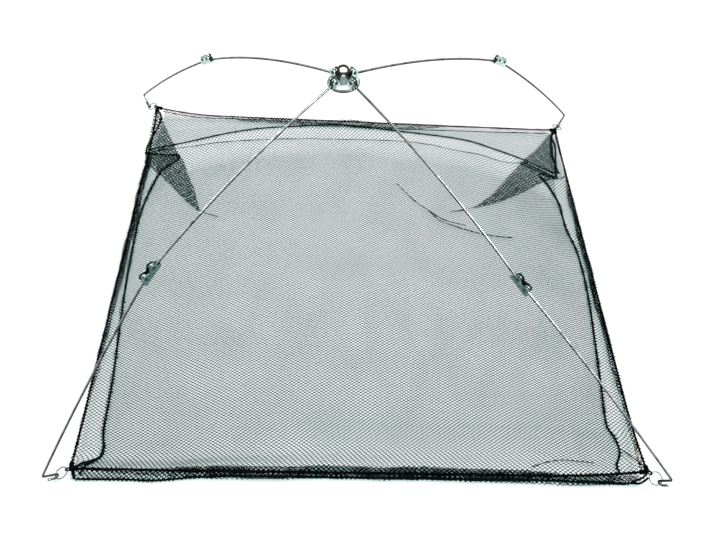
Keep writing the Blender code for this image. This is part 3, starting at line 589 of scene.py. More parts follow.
# %% Wire rings
def ring_arrays(major, minor, steps, sides, wobble=0.0):
    around = np.arange(steps)[:, None] * 2 * math.pi / steps
    across = np.arange(sides)[None, :] * 2 * math.pi / sides
    reach = major + minor * np.cos(across) + wobble * np.sin(3 * around)
    height = np.broadcast_to(minor * np.sin(across), reach.shape)
    points = np.stack([reach * np.cos(around), reach * np.sin(around), height], axis=-1)
    i, j = np.indices((steps, sides))
    ahead, beside = (i + 1) % steps * sides, (j + 1) % sides
    quads = np.stack([i * sides + j, ahead + j, ahead + beside, i * sides + beside], axis=-1)
    return points.reshape(-1, 3), quads.reshape(-1, 4)


STOP_REACH, STOP_WIRE = 26.25 * MM, 2.75 * MM
low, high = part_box("stop_ring")
arrays = ring_arrays(STOP_REACH, STOP_WIRE, 72, 14)
make_piece("stop_ring_wire", arrays, WIRE_ZINC, BAG, "stop_ring", Matrix.Translation((low + high) / 2))

RING_DIP = math.radians(18)
RING_REACH, RING_WIRE, RING_WOBBLE = 11.5 * MM, 1.0 * MM, 0.04 * MM


def ring_place(arm):
    heading, _, _, turn, roll = ARMS[arm]
    rotation = Euler((math.radians(roll), RING_DIP, math.radians(heading + turn)))
    return Matrix.Translation(JOINT_AT[f"ring_roll_{arm}"]) @ rotation.to_matrix().to_4x4()


for arm in ARMS:
    points, quads = ring_arrays(RING_REACH, RING_WIRE, 48, 10, RING_WOBBLE)
    points[:, 0] += RING_REACH
    node = f"corner_ring_{arm}"
    make_piece(f"{node}_wire", (points, quads), RING_ZINC, f"ring_{arm}", node, ring_place(arm))
print("rings made", 1 + len(ARMS))

# %% Lifting eye
HUB_HEIGHT = JOINT_AT["hub_pivot_far_left"].z
EYE_WIRE, EYE_REACH, EYE_RISE = 2.25 * MM, 9 * MM, 13.6 * MM
low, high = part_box("lifting_eye")
foot = low.z
bow = arc_pairs((0, HUB_HEIGHT + EYE_RISE), EYE_REACH, math.radians(-62), math.pi / 2, 14)
half = [
    (EYE_REACH, foot + EYE_WIRE * 0.25),
    (EYE_REACH, foot + EYE_WIRE),
    (EYE_REACH * 0.78, foot + 3 * EYE_WIRE),
    (bow[0][0] * 1.1, bow[0][1] - EYE_WIRE),
] + bow
outline = half + [(-across, up) for across, up in reversed(half[:-1])]
path = smooth_path(in_arm_plane(outline), 1.2 * MM)
make_piece("lifting_eye_omega", tube_arrays(path, EYE_WIRE, 14), FORGED_STEEL, BAG, "lifting_eye")
print("lifting eye from", round(foot, 4), "to", round(high.z, 4))

# %% [markdown]
# ## Where the bag lies
# The bag is a square of netting with a wall along each edge. One rope runs along the wall's upper
# edge, straight from ring to ring. A second rope follows the seam between wall and floor, and lies
# where the slack bag fell. Both are given as in the frame: a share of the edge and a distance
# into the bag.

# %% Rope routes
SIDES = {
    "near": ("near_left", "near_right"),
    "right": ("near_right", "far_right"),
    "far": ("far_right", "far_left"),
    "left": ("far_left", "near_left"),
}
# share of the edge, and distance into the bag in thousandths of the edge
BOTTOM_ROPE_ROUTES = {
    "near": [
        (0.01, -14.8), (0.095, -14.3), (0.139, -15.7), (0.172, -13.3), (0.208, -8.9), (0.251, -5.9),
        (0.33, -4.9), (0.58, -4.4), (0.8, -4.9), (0.856, -5.4), (0.881, -6.9), (0.924, -8.4),
        (0.968, -9.3),
    ],
    "right": [
        (0.012, 40.2), (0.03, 42.8), (0.056, 31.3), (0.09, 34.5), (0.12, 43.9), (0.218, 35.5),
        (0.433, 17.8), (0.566, 16.7), (0.651, 29.2), (0.736, 32.4), (0.8, 48), (0.838, 64.8),
        (0.844, 58.5), (0.836, 43.9), (0.828, 26.6),
    ],
    "far": [
        (0.012, 149.7), (0.079, 106.8), (0.15, 70.8), (0.232, 38.4), (0.384, 18), (0.535, 3.5),
        (0.64, 15), (0.734, 29.9), (0.815, 54.9), (0.9, 91.8), (0.96, 116.7), (0.997, 129.7),
    ],
    "left": [
        (0.144, -7.4), (0.147, 29.7), (0.15, 61.4), (0.157, 73.3), (0.168, 69.3), (0.19, 51.5),
        (0.215, 34.2), (0.28, 20.3), (0.364, 11.4), (0.493, 13.9), (0.604, 19.3), (0.804, 34.7),
        (0.913, 39.1), (0.955, 47.5), (0.975, 41.6), (0.985, 25.7), (0.993, 17.8), (1.007, 14.9),
    ],
}
TOP_ROPE_HEIGHT = 12.6 * MM
ROPE_RADIUS = 3.0 * MM
CLIMB = 160 * MM


def rope_corner(arm):
    """Where two top ropes meet, just inside the cord loop that holds the ring."""
    place = ring_place(arm)
    outward = place.to_3x3() @ Vector((1, 0, 0))
    flat = Vector((outward.x, outward.y, 0)).normalized()
    return np.array(place.translation - flat * 6.6 * MM)


CORNERS = {arm: rope_corner(arm) for arm in ARMS}


def edge(side):
    """Where an edge starts, its run and the way into the bag."""
    start, end = (CORNERS[arm][:2] for arm in SIDES[side])
    run = end - start
    return start, run, np.array([-run[1], run[0]]) / np.linalg.norm(run)


EDGES = {side: edge(side) for side in SIDES}
LENGTHS = {side: np.linalg.norm(run) for side, (_, run, _) in EDGES.items()}


def beside_edge(side, shares, insets, height):
    """Points by one edge: their shares of the edge, and how far inside the top rope they lie."""
    start, run, inward = EDGES[side]
    flat = start + np.multiply.outer(shares, run) + np.multiply.outer(insets, inward)
    return np.column_stack([flat, np.broadcast_to(height, len(flat))])


def bottom_route(side):
    shares, insets = np.array(BOTTOM_ROPE_ROUTES[side]).T
    return smooth_path(beside_edge(side, shares, insets * (LENGTHS[side] / 1000), ROPE_RADIUS + GAP), 6 * MM)


def fading(distance, reach):
    """1 at no distance, easing down to 0 at the reach."""
    return np.clip(1 - distance / reach, 0, None) ** 2


def top_height(side, shares):
    """Height of a top rope: it lies on the folded wall, and climbs to the ring at each end."""
    first, last = (CORNERS[arm][2] - TOP_ROPE_HEIGHT for arm in SIDES[side])
    climbs = first * fading(shares * LENGTHS[side], CLIMB), last * fading((1 - shares) * LENGTHS[side], CLIMB)
    return TOP_ROPE_HEIGHT + climbs[0] + climbs[1]


def top_route(side):
    shares = np.linspace(0, 1, 120)
    return beside_edge(side, shares, 0 * shares, top_height(side, shares))


BOTTOM_ROUTES = {side: bottom_route(side) for side in SIDES}
TOP_ROUTES = {side: top_route(side) for side in SIDES}
for side in SIDES:
    lengths = [round(distances(routes[side])[-1], 3) for routes in (TOP_ROUTES, BOTTOM_ROUTES)]
    print(side, "top and bottom rope, in metres", lengths)

# %% [markdown]
# ## Twisted rope
# The border rope is laid from three strands. Each strand is a tube on a helix round the rope's
# path. The netting is laced to it with a thin twine that winds round the rope the other way and
# makes its outline fuzzy.

# %% Lay a rope
LACING, LACING_PITCH = 0.85 * MM, 7.5 * MM


def helix(path, radius, turns, phase):
    _, side, up = frames_along(path)
    angle = phase + np.linspace(0, turns * 2 * math.pi, len(path))
    return path + side * (np.cos(angle) * radius)[:, None] + up * (np.sin(angle) * radius)[:, None]


def random_line(random, count, every, low, high):
    """So many values that drift at random between low and high."""
    knots = np.arange(0, count + every, every)
    return np.interp(np.arange(count), knots, random.uniform(low, high, len(knots)))


def laid_rope(node, route, radius, pitch=21 * MM, slack=1.7 * MM, seed=0):
    """Three strands laid round a route, and the lacing twine round them with its random slack."""
    path, length = evenly(route, 2.6 * MM)
    phases = np.arange(3) * 2 * math.pi / 3
    strands = [helix(path, radius * 0.50, length / pitch, phase) for phase in phases]
    parts = [tube_arrays(strand, radius * 0.52, 6) for strand in strands]
    path, _ = evenly(route, 1.5 * MM)
    loose = random_line(np.random.default_rng(seed), len(path), 6, -0.5 * MM, slack)
    line = helix(path, radius + 0.1 * MM + loose, -length / LACING_PITCH, 0.0)
    line[:, 2] = np.maximum(line[:, 2], LACING)
    parts.append(tube_arrays(line, LACING, 4))
    make_piece(f"{node}_laid", joined(parts), ROPE_BLACK, BAG, node)


# the top rope's and the bottom rope's radius, and the most slack in the bottom rope's lacing
LAID_RADIUS = {
    "near": (2.4 * MM, 2.2 * MM, 1.7 * MM),
    "right": (2.0 * MM, 2.1 * MM, 3.0 * MM),
    "far": (1.6 * MM, 1.6 * MM, 1.7 * MM),
    "left": (2.0 * MM, 2.1 * MM, 3.2 * MM),
}
for number, side in enumerate(SIDES):
    top, bottom, slack = LAID_RADIUS[side]
    laid_rope(f"top_rope_{side}", TOP_ROUTES[side], top, seed=number)
    laid_rope(f"bottom_rope_{side}", BOTTOM_ROUTES[side], bottom, slack=slack, seed=10 + number)
print("ropes laid", 2 * len(SIDES))

# %% [markdown]
# ## Netting
# The mesh is knotless: braided twines that cross at every corner of a diamond, in the floor 9 mm
# one way and 6.4 mm the other, because it is pulled wide. An image with holes would do from afar,
# but it has no thickness and no edge, so every twine is real here. A sheet is a grid of points,
# two to a diamond each way. Two families of diagonal twines run over it, and each is swept as a
# thin tube. A tube of four sides is enough at this size, with one of its corners on top. Where two
# twines cross they are braided together for nearly 5 mm, which shows as a short dark dash.

# %% Twines over a sheet
DIAMOND_WIDE = 9.0 * MM
DIAMOND_DEEP = 6.4 * MM
# a wall's diamonds: along its edge, and down its depth
WALL_DIAMONDS = {
    "near": (9.0 * MM, 8.0 * MM), "right": (7.0 * MM, 9.5 * MM),
    "far": (9.0 * MM, 8.0 * MM), "left": (7.0 * MM, 9.5 * MM),
}
TWINE_RADIUS = 0.5 * MM
FOLD_RADIUS = 0.85 * MM
JOINT_REACH, JOINT_RISE = 2.4 * MM, 0.4 * MM
FLOOR_JOINT, WALL_JOINT = 1.35 * MM, 1.0 * MM


def twine_arrays(lines, radius):
    """Many thin open lines, each swept with its first side level."""
    parts = []
    for line in lines:
        tangent = unit(np.gradient(line, axis=0))
        side = np.cross(tangent, (0.0, 0.0, 1.0))
        side[np.linalg.norm(side, axis=1) < 0.2] = (1.0, 0.0, 0.0)
        side = unit(side)
        parts.append(sweep(line, radius, side, np.cross(side, tangent), 4))
    return joined(parts)


def joint_arrays(grid, half_width):
    """A slim bent rhombus, as two faces back to back, at every crossing of a grid's twines."""
    along = grid[2:, 1:-1] - grid[:-2, 1:-1]
    across = grid[1:-1, 2:] - grid[1:-1, :-2]
    middle = grid[1:-1, 1:-1]
    i, j = np.indices(middle.shape[:2])
    crossing = ((i + j) % 2 == 0) & np.isfinite(along + across + middle).all(axis=-1)
    along = unit(along[crossing]) * JOINT_REACH
    across = unit(across[crossing]) * half_width
    middle = middle[crossing]
    lift = np.array([0, 0, JOINT_RISE])
    corners = [middle - along + lift, middle - across - lift, middle + along + lift, middle + across - lift]
    first = np.arange(len(middle))[:, None] * 4
    faces = np.concatenate([first + [0, 1, 2, 3], first + [3, 2, 1, 0]])
    return np.stack(corners, axis=1).reshape(-1, 3), faces


def diagonals(rows, columns, stride):
    """Index pairs of each diagonal twine over a grid of half diamonds."""
    lines = []
    for sign in (1, -1):
        edge = 0 if sign > 0 else columns
        starts = [(i, edge) for i in range(0, rows, 2)] + [(0, j) for j in range(2, columns, 2)]
        for i, j in starts:
            steps = min(rows - i, j if sign < 0 else columns - j)
            if steps > 0:
                along = np.array(sorted({*range(0, steps, stride), steps}))
                lines.append((i + along, j + sign * along))
    return lines


def flat_map(piece):
    """A plain map of the piece seen from above, which is all that a bake of its colour needs."""
    mesh = piece.data
    places = np.empty(len(mesh.vertices) * 3, np.float32)
    mesh.vertices.foreach_get("co", places)
    places = places.reshape(-1, 3)[:, :2]
    low, high = places.min(axis=0), places.max(axis=0)
    corners = np.empty(len(mesh.loops), np.int32)
    mesh.loops.foreach_get("vertex_index", corners)
    layer = mesh.uv_layers.new(name="OFBake")
    layer.data.foreach_set("uv", ((places - low) / (high - low))[corners].ravel())


def netting_piece(name, parts, node):
    """One piece of netting from the points and faces of its twines, joints and folds."""
    piece = make_piece(name, joined(parts), TWINE_BLACK, BAG, node)
    flat_map(piece)
    print(name, "has", 2 * len(piece.data.polygons), "triangles")


def grid_twines(grid, stride):
    """The diagonal twines of a grid of points. A twine stops where the grid has no point."""
    lines = []
    for rows, columns in diagonals(grid.shape[0] - 1, grid.shape[1] - 1, stride):
        line = grid[rows, columns]
        there = np.isfinite(line[:, 0])
        breaks = np.flatnonzero(np.diff(np.concatenate([[0], there.astype(int), [0]])))
        lines += [line[first:last] for first, last in zip(breaks[::2], breaks[1::2]) if last - first > 1]
    return lines


print("netting helpers ready")

# %% [markdown]
# ## Floor of the bag
# The floor fills the space inside the four bottom ropes. A patch that blends its four edges keeps
# the diamonds regular in the middle and lets them crowd towards the curved ropes, as gathered
# netting does. It isn't flat: slack netting lies in low waves a few millimetres high. Where two
# ropes meet, the patch has one corner, and only the last few centimetres of its edges bend to it.

# %% Floor sheet
FLOOR_CORNERS = {
    "near_left": (-0.462, -0.500),
    "near_right": (0.503, -0.492),
    "far_left": (-0.487, 0.384),
    "far_right": (0.490, 0.315),
}
# where the floor leaves a side rope that turns back before the far corner
TURNS = {"left": (-0.430, 0.335), "right": (0.463, 0.27)}
CORNER_REACH = 0.08
FLOOR_CUT = (0.95, 0.93)
FLOOR_SAG, FLOOR_RIM, FLOOR_WAVE = 2.2 * MM, 2.6 * MM, 3.0 * MM


def along_route(route, shares):
    """Points at these shares of a route's length."""
    return at_distances(route, shares * distances(route)[-1])


def share_near(route, point):
    """The share of a route's length at which it passes nearest to a point."""
    shares = np.linspace(0, 1, 400)
    return shares[np.linalg.norm(along_route(route, shares)[:, :2] - point, axis=1).argmin()]


def waves(x, y, seed, height, length):
    """Low smooth waves from a few crossing sines, between plus and minus the height."""
    random = np.random.default_rng(seed)
    total = np.zeros(np.broadcast(x, y).shape)
    for _ in range(7):
        angle, phase = random.uniform(0, 2 * math.pi, 2)
        stretch = random.uniform(0.6, 1.7) / length
        total += np.sin((x * math.cos(angle) + y * math.sin(angle)) * stretch * 2 * math.pi + phase)
    return total / 7 * height


def floor_edge(side, shares, first, last):
    """The floor's edge along one rope, from one corner of the floor to another."""
    route = BOTTOM_ROUTES[side]
    first, last = (np.array(FLOOR_CORNERS[arm]) for arm in (first, last))
    start, end = share_near(route, first), share_near(route, TURNS.get(side, last))
    line = along_route(route, start + (end - start) * shares)[:, :2]
    pulls = fading(shares, CORNER_REACH)[:, None], fading(1 - shares, CORNER_REACH)[:, None]
    return line + (first - line[0]) * pulls[0] + (last - line[-1]) * pulls[1]


def floor_grid():
    u = np.linspace(0, 1, round(FLOOR_CUT[0] / DIAMOND_WIDE) * 2 + 1)
    v = np.linspace(0, 1, round(FLOOR_CUT[1] / DIAMOND_DEEP) * 2 + 1)
    near = floor_edge("near", u, "near_left", "near_right")[:, None]
    far = floor_edge("far", u, "far_left", "far_right")[:, None]
    left = floor_edge("left", v, "near_left", "far_left")[None]
    right = floor_edge("right", v, "near_right", "far_right")[None]
    east, north = u[:, None, None], v[None, :, None]
    west, south = 1 - east, 1 - north
    flat = near * south + far * north + left * west + right * east
    shares = (south * west, south * east, north * west, north * east)
    flat -= sum(np.array(corner) * share for corner, share in zip(FLOOR_CORNERS.values(), shares))
    x, y = flat[..., 0], flat[..., 1]
    rim = np.minimum(np.minimum(u, 1 - u)[:, None], np.minimum(v, 1 - v)[None])
    calm = np.clip(rim / 0.05, 0, 1)
    height = FLOOR_RIM * (1 - calm) + (FLOOR_SAG + waves(x, y, 3, FLOOR_WAVE, 0.17)) * calm
    x = x + waves(x, y, 5, FLOOR_WAVE, 0.21) * calm
    y = y + waves(x, y, 7, FLOOR_WAVE, 0.21) * calm
    return np.stack([x, y, np.clip(height, 0.8 * MM, None)], axis=-1)


# a path in millimetres on the ground, then the number of twines in the fold and half its width
FLOOR_CREASES = [
    ([(110, 274), (131, 243), (156, 210), (187, 180)], 2, 0.4),
    ([(187, 180), (220, 152), (268, 135)], 2, 0.5),
    ([(183, 184), (208, 152), (241, 133), (307, 108), (368, 99)], 3, 1.6),
    ([(-345, 177), (-330, 168), (-296, 154)], 2, 0.6),
    ([(233, 181), (246, 183), (265, 185)], 2, 0.8),
    ([(345, -470), (369, -460), (397, -455), (424, -456), (455, -460)], 2, 0.6),
    ([(-485, 375), (-444, 387), (-396, 397), (-312, 417), (-231, 426), (-127, 432), (-2, 432)], 2, 1.2),
    ([(-2, 432), (122, 427), (196, 415), (237, 402), (316, 379), (363, 356), (399, 351), (436, 355)], 2, 1.2),
    ([(-430, -438), (-431, -461), (-443, -470), (-457, -475), (-469, -482), (-477, -489)], 12, 3.4),
]


FOLD_HEIGHT, HEM_HEIGHT = 6.0 * MM, 7.0 * MM


def on_ground(path, height):
    return np.array([(x * MM, y * MM, height) for x, y in path])


def crease(path, count, half_width, seed):
    """A fold seen edge on: a few twines that wander together along a path."""
    line = smooth_path(path, 5 * MM)
    _, across, _ = frames_along(line)
    random = np.random.default_rng(seed)
    lines = []
    for _ in range(count):
        off = random_line(random, len(line), 4, -half_width, half_width) * MM
        lift = random_line(random, len(line), 4, 0, 1.0) * MM
        lines.append(line + across * off[:, None] + np.array([0, 0, 1.0]) * lift[:, None])
    return lines


def creases(table, height, seed):
    """The folds in a table of paths on the ground."""
    lines = []
    for number, (path, count, half_width) in enumerate(table):
        lines += crease(on_ground(path, height), count, half_width, seed + number)
    return lines


# a cord from the right bottom rope up to the near right corner, in millimetres
CORNER_CORD = [(510, -430, 6), (531, -456, 12), (542, -473, 18), (550, -488, 25)]
FLOOR = floor_grid()
folds = crease(np.array(CORNER_CORD) * MM, 4, 0.7, 59) + creases(FLOOR_CREASES, FOLD_HEIGHT, 60)
parts = [twine_arrays(grid_twines(FLOOR, 3), TWINE_RADIUS), twine_arrays(folds, FOLD_RADIUS)]
netting_piece("floor_netting", parts, "net_floor")
# in a mesh of this size Blender's choice between two faces back to back isn't repeatable, so each
# of the floor's joints has only one
points, faces = joint_arrays(FLOOR, FLOOR_JOINT)
netting_piece("floor_netting_joints", [(points, faces[: len(points) // 4])], "net_floor")

# %% [markdown]
# ## Walls of the bag
# Lifted, each wall stands about 15 cm deep. On the ground it has fallen between its two ropes:
# it crosses the gap in one layer, and the rest lies in pleats on both sides of the top rope. The
# section is a zigzag under the rope. How far it reaches, and how many times it crosses, changes
# along the edge, and the folds wander, so that no pleat lines up with the next. Only the pleats
# that show are drawn: a twine stops at the rope, and the rest of the strip would be buried there.

# %% How the walls are pleated
WALL_DEPTH = 150 * MM
FOOT_HEIGHT, SPAN_HEIGHT, PLEAT_HEIGHT = 2.2 * MM, 1.2 * MM, 1.4 * MM
UNDER_ROPE, HEM_DROP = 1.5 * MM, 4 * MM
# share of the edge, then in millimetres the reach into the bag and out of it, then the crossings
PLEATS = {
    "near": [
        (0.0, 4, 3, 1), (0.1, 4, 5, 2), (0.16, 8, 9, 3), (0.24, 14, 12, 3.6), (0.3, 17, 10, 4.3),
        (0.45, 17, 10, 4), (0.62, 18, 10, 4.3), (0.8, 16, 11, 4), (0.87, 8, 16, 2.6), (0.93, 5, 18, 2.2),
        (1.0, 4, 10, 2),
    ],
    "right": [
        (0.0, 5, 3, 2), (0.1, 6, 3, 3), (0.35, 8, 4, 6), (0.55, 8, 5, 7), (0.72, 8, 4, 6), (0.83, 5, 3, 2),
        (0.9, 4, 2, 1), (1.0, 3, 2, 1),
    ],
    "far": [
        (0.0, 7, 2, 1), (0.18, 8, 3, 1), (0.26, 12, 6, 1), (0.36, 15, 12, 2), (0.5, 17, 13, 3),
        (0.68, 16, 11, 2), (0.78, 12, 8, 2), (0.86, 8, 3, 1), (1.0, 6, 2, 1),
    ],
    "left": [
        (0.12, 6, 6, 4), (0.2, 9, 7, 6), (0.4, 9, 7, 6), (0.6, 8, 5, 5), (0.75, 7, 4, 4),
        (0.9, 4, 3, 2), (1.0, 3, 2, 1),
    ],
}
WALL_STRETCHES = {"near": (0.0, 0.99), "right": (0.01, 0.985), "far": (0.01, 0.985), "left": (0.15, 0.995)}
# beyond the bottom rope's end, the wall's lower edge follows the corner's seam
SEAM_INSETS = [(0.832, 19), (0.868, 24), (0.9, 25), (0.93, 23), (0.965, 19), (1.0, 9)]


def signed_inset(side, shares):
    """How far inside the top rope the bottom rope lies at these shares of the edge."""
    start, run, inward = EDGES[side]
    route = BOTTOM_ROUTES[side][:, :2] - start
    at, inset = route @ run / LENGTHS[side] ** 2, route @ inward
    order = np.argsort(at)
    found = np.interp(shares, at[order], inset[order])
    if side != "right":
        return found
    seam_shares, seam_insets = np.array(SEAM_INSETS).T
    return np.where(shares < seam_shares[0], found, np.interp(shares, seam_shares, seam_insets * MM))


def wander(rows, count, reach, every, seed):
    """Smooth random lines between plus and minus a reach, one for each fold."""
    random = np.random.default_rng(seed)
    return np.array([random_line(random, rows, every, -reach, reach) for _ in range(count)])


def wall_section(gap, top, inner, outer, crossings, shift):
    """One section of a pleated wall, as distances into the bag and heights."""
    inside = gap <= 0
    section = [(gap, FOOT_HEIGHT), (gap * 0.45, SPAN_HEIGHT)]
    for k in range(math.ceil(crossings)):
        reach = (inner if inside else -outer) * min(1, crossings - k)
        rise = (top - PLEAT_HEIGHT) * (k + 0.7) / (crossings + 0.7)
        section.append((reach + shift[k], PLEAT_HEIGHT + rise))
        inside = not inside
    return np.array(section + [(0.0, top)])


def wall_grid(side, seed):
    low, high = WALL_STRETCHES[side]
    along, deep = WALL_DIAMONDS[side]
    rows = round(LENGTHS[side] * (high - low) / along) * 2 + 1
    depths = np.linspace(0, WALL_DEPTH, round(WALL_DEPTH / deep) * 2 + 1)
    shares = np.linspace(low, high, rows)
    places, *pleats = np.array(PLEATS[side]).T
    inner, outer, crossings = (np.interp(shares, places, values) for values in pleats)
    # the bundle wanders as a whole, and its folds only a little one by one, so the bars keep their length
    shifts = wander(rows, 1, 2.2 * MM, 14, seed) + wander(rows, 1, 0.8 * MM, 4, seed + 50)
    shifts = shifts + wander(rows, 8, 1.0 * MM, 20, seed + 90)
    tops = top_height(side, shares) - UNDER_ROPE
    grid = np.full((rows, len(depths), 3), np.nan)
    shapes = zip(signed_inset(side, shares), tops, inner * MM, outer * MM, crossings, shifts.T)
    for row, shape in enumerate(shapes):
        section = wall_section(*shape)
        used = depths[depths <= distances(section)[-1]]
        across, height = at_distances(section, used).T
        grid[row, : len(used)] = beside_edge(side, np.full(len(used), shares[row]), across, height)
    return grid


print("pleats set for", list(PLEATS))

# %% Wall sheets
WALL_HEMS = {
    "near": [
        ([(-474, -488), (-471, -497), (-468, -506)], 6, 1.8),
        ([(401, -488), (418, -495), (462, -497), (514, -499), (532, -499), (548, -488)], 5, 1.6),
    ],
    "right": [
        ([(504, 468), (496, 441), (493, 403), (492, 373), (494, 348), (498, 312)], 11, 4.2),
        ([(412, 356), (433, 340), (455, 324), (474, 310), (493, 300)], 6, 2.0),
        ([(411, 349), (432, 333), (454, 317), (474, 303), (489, 295)], 7, 1.8),
    ],
    "far": [],
    "left": [
        ([(-502, 372), (-479, 377), (-445, 392)], 5, 1.5),
        ([(-502, 369), (-477, 366), (-452, 366), (-417, 367)], 5, 1.6),
    ],
}
# share of the edge and distance inside the top rope, in millimetres
FAR_HEM = [(0.02, 10), (0.2, 13), (0.386, 15), (0.563, 8), (0.745, 4), (0.89, 7), (0.985, 6)]


def hem_path(side, table):
    """A hem that hangs a little below and inside the top rope."""
    shares, insets = np.array(table).T
    return beside_edge(side, shares, insets * MM, top_height(side, shares) - HEM_DROP)


DRAWN_PART = {}
for number, side in enumerate(SIDES):
    folds = creases(WALL_HEMS[side], HEM_HEIGHT, 80 + 10 * number)
    if side == "far":
        folds += crease(hem_path(side, FAR_HEM), 3, 1.0, 79)
    grid = wall_grid(side, 20 + number)
    wide_way = grid if WALL_DIAMONDS[side][0] > WALL_DIAMONDS[side][1] else grid.swapaxes(0, 1)
    parts = [twine_arrays(grid_twines(grid, 1), TWINE_RADIUS), joint_arrays(wide_way, WALL_JOINT)]
    DRAWN_PART[side] = float(np.isfinite(grid[..., 0]).mean())
    print(side, "wall: part of the cut that is drawn", round(DRAWN_PART[side], 2))
    netting_piece(f"wall_netting_{side}", parts + [twine_arrays(folds, FOLD_RADIUS)], f"net_wall_{side}")

# %% [markdown]
# ## Tucks at the far corners
# At the two far corners the loose wall folded inwards in a long pointed leaf of two layers over
# the floor. Netting seen through netting looks far darker. Each layer is a flat piece of mesh cut
# to the leaf's outline, and turned a little against the one below, which gives the speckle. Its
# mesh is square, and drawn coarser than the real one, so that its speckle shows from afar.

# %% Cut netting to an outline
LEAF_STEP, LEAF_TWINE = 7.0 * MM, 0.8 * MM
LEAF_HEIGHT, LEAF_LAYER, LEAF_CLIMB = 4.2 * MM, 1.5 * MM, 120 * MM


def cut_netting(outline, turn):
    """Straight diagonal twines inside an outline, with the mesh turned by an angle."""
    middle = outline.mean(axis=0)
    lines = []
    for diagonal in (45, 135):
        angle = math.radians(diagonal + turn)
        along = np.array([math.cos(angle), math.sin(angle)])
        across = np.array([-along[1], along[0]])
        offsets, reaches = (outline - middle) @ across, (outline - middle) @ along
        sides = list(zip(offsets, np.roll(offsets, -1), reaches, np.roll(reaches, -1)))
        low, high = math.ceil(offsets.min() / LEAF_STEP), math.floor(offsets.max() / LEAF_STEP)
        for offset in np.arange(low, high + 1) * LEAF_STEP:
            crossed = [side for side in sides if (side[0] - offset) * (side[1] - offset) < 0]
            hits = sorted(start + (end - start) * ((offset - a) / (b - a)) for a, b, start, end in crossed)
            for start, end in zip(hits[::2], hits[1::2]):
                count = max(2, round((end - start) / (9 * MM)) + 1)
                reach = np.linspace(start, end, count)[:, None]
                lines.append(middle + reach * along + across * offset)
    return lines


def leaf_height(flat, layer, corner):
    """A leaf lies on the floor's rim, and climbs towards the corner where the ropes meet."""
    near_corner = np.clip(1 - np.linalg.norm(flat - corner[:2], axis=1) / LEAF_CLIMB, 0, 1)
    ripple = waves(flat[:, 0], flat[:, 1], 40 + layer, 0.8 * MM, 0.06)
    return LEAF_HEIGHT + layer * LEAF_LAYER + ripple + near_corner * (corner[2] - 12 * MM)


TUCKS = {
    "far_left": [
        (-500, 535), (-484, 508), (-466, 463), (-442, 417), (-428, 387), (-401, 339), (-388, 301),
        (-366, 253), (-348, 196), (-340, 174), (-349, 179), (-373, 201), (-400, 234), (-431, 271),
        (-458, 300), (-478, 321), (-497, 337), (-501, 375), (-500, 431), (-500, 487),
    ],
    "far_right": [
        (497, 462), (474, 429), (453, 400), (423, 365), (388, 317), (355, 271), (328, 233), (298, 205),
        (270, 187), (244, 181), (263, 192), (302, 197), (350, 216), (399, 244), (450, 279), (495, 308),
        (490, 348), (489, 403), (493, 441),
    ],
}
OUTLINES = {arm: np.array(outline) * MM for arm, outline in TUCKS.items()}
LEAF_TURNS = {"far_left": (9, -11), "far_right": (8, -14)}
for arm, outline in OUTLINES.items():
    lines = []
    for layer, turn in enumerate(LEAF_TURNS[arm]):
        flats = cut_netting(outline, turn)
        lines += [np.column_stack([flat, leaf_height(flat, layer, CORNERS[arm])]) for flat in flats]
    netting_piece(f"{arm}_tuck_netting", [twine_arrays(lines, LEAF_TWINE)], f"{arm}_tuck")

# %% [markdown]
# ## Corners
# At each corner the two top ropes are whipped together with cord, and a small loop of the same
# cord holds the ring. A corded seam runs down to where the bottom ropes end.

# %% Seams, whippings and loops
SEAM_RADIUS, PLAY = 2.0 * MM, 0.5 * MM
BESIDE = SEAM_RADIUS + ROPE_RADIUS + PLAY
LOW = SEAM_RADIUS + GAP


def seam(arm, *below):
    """A corded seam from under a corner's ropes down through the points given."""
    start = CORNERS[arm] - (0, 0, ROPE_RADIUS + SEAM_RADIUS + GAP)
    route = smooth_path([start, *below], 4 * MM)
    laid_rope(f"corner_seam_{arm}", route, SEAM_RADIUS, pitch=14 * MM, seed=len(arm))


def far_seam(arm, sides, inwards, outer, heights):
    """A far corner's seam runs beside the wall, then down between the ends of two bottom ropes."""
    x, y, _ = CORNERS[arm]
    end = (BOTTOM_ROUTES[sides[0]][-1] + BOTTOM_ROUTES[sides[1]][0]) / 2
    seam(
        arm,
        (x + inwards * 2 * BESIDE, y - 20 * MM, heights[0]),
        (x + inwards * BESIDE, y - 60 * MM, heights[1]),
        (outer, end[1] + 20 * MM, LOW + ROPE_RADIUS),
        (outer, end[1] - 10 * MM, LOW + 1 * MM),
    )


outer = BOTTOM_ROUTES["left"][0][0] - SEAM_RADIUS - PLAY
far_seam("far_left", ("far", "left"), 1, outer, (16 * MM, 10 * MM))
outer = BOTTOM_ROUTES["far"][0][0] + SEAM_RADIUS + ROPE_RADIUS * 0.7 + PLAY
far_seam("far_right", ("right", "far"), -1, outer, (9 * MM, 8 * MM))
corner, feet = CORNERS["near_right"], BOTTOM_ROUTES["near"][[0, -1]]
seam("near_left", (feet[0][0] - SEAM_RADIUS - PLAY, feet[0][1], LOW))
seam(
    "near_right",
    (corner[0] - BESIDE, corner[1] - 4 * MM, corner[2] / 2),
    (feet[1][0] + SEAM_RADIUS + PLAY, feet[1][1], LOW),
)


def wound(middle, direction, radius, turns, cord, width):
    """A whipping: turns of cord round a direction, centred on a point."""
    along = np.linspace(-width / 2, width / 2, int(turns * 16))
    return tube_arrays(helix(middle + np.multiply.outer(along, unit(direction)), radius, turns, 0.0), cord, 6)


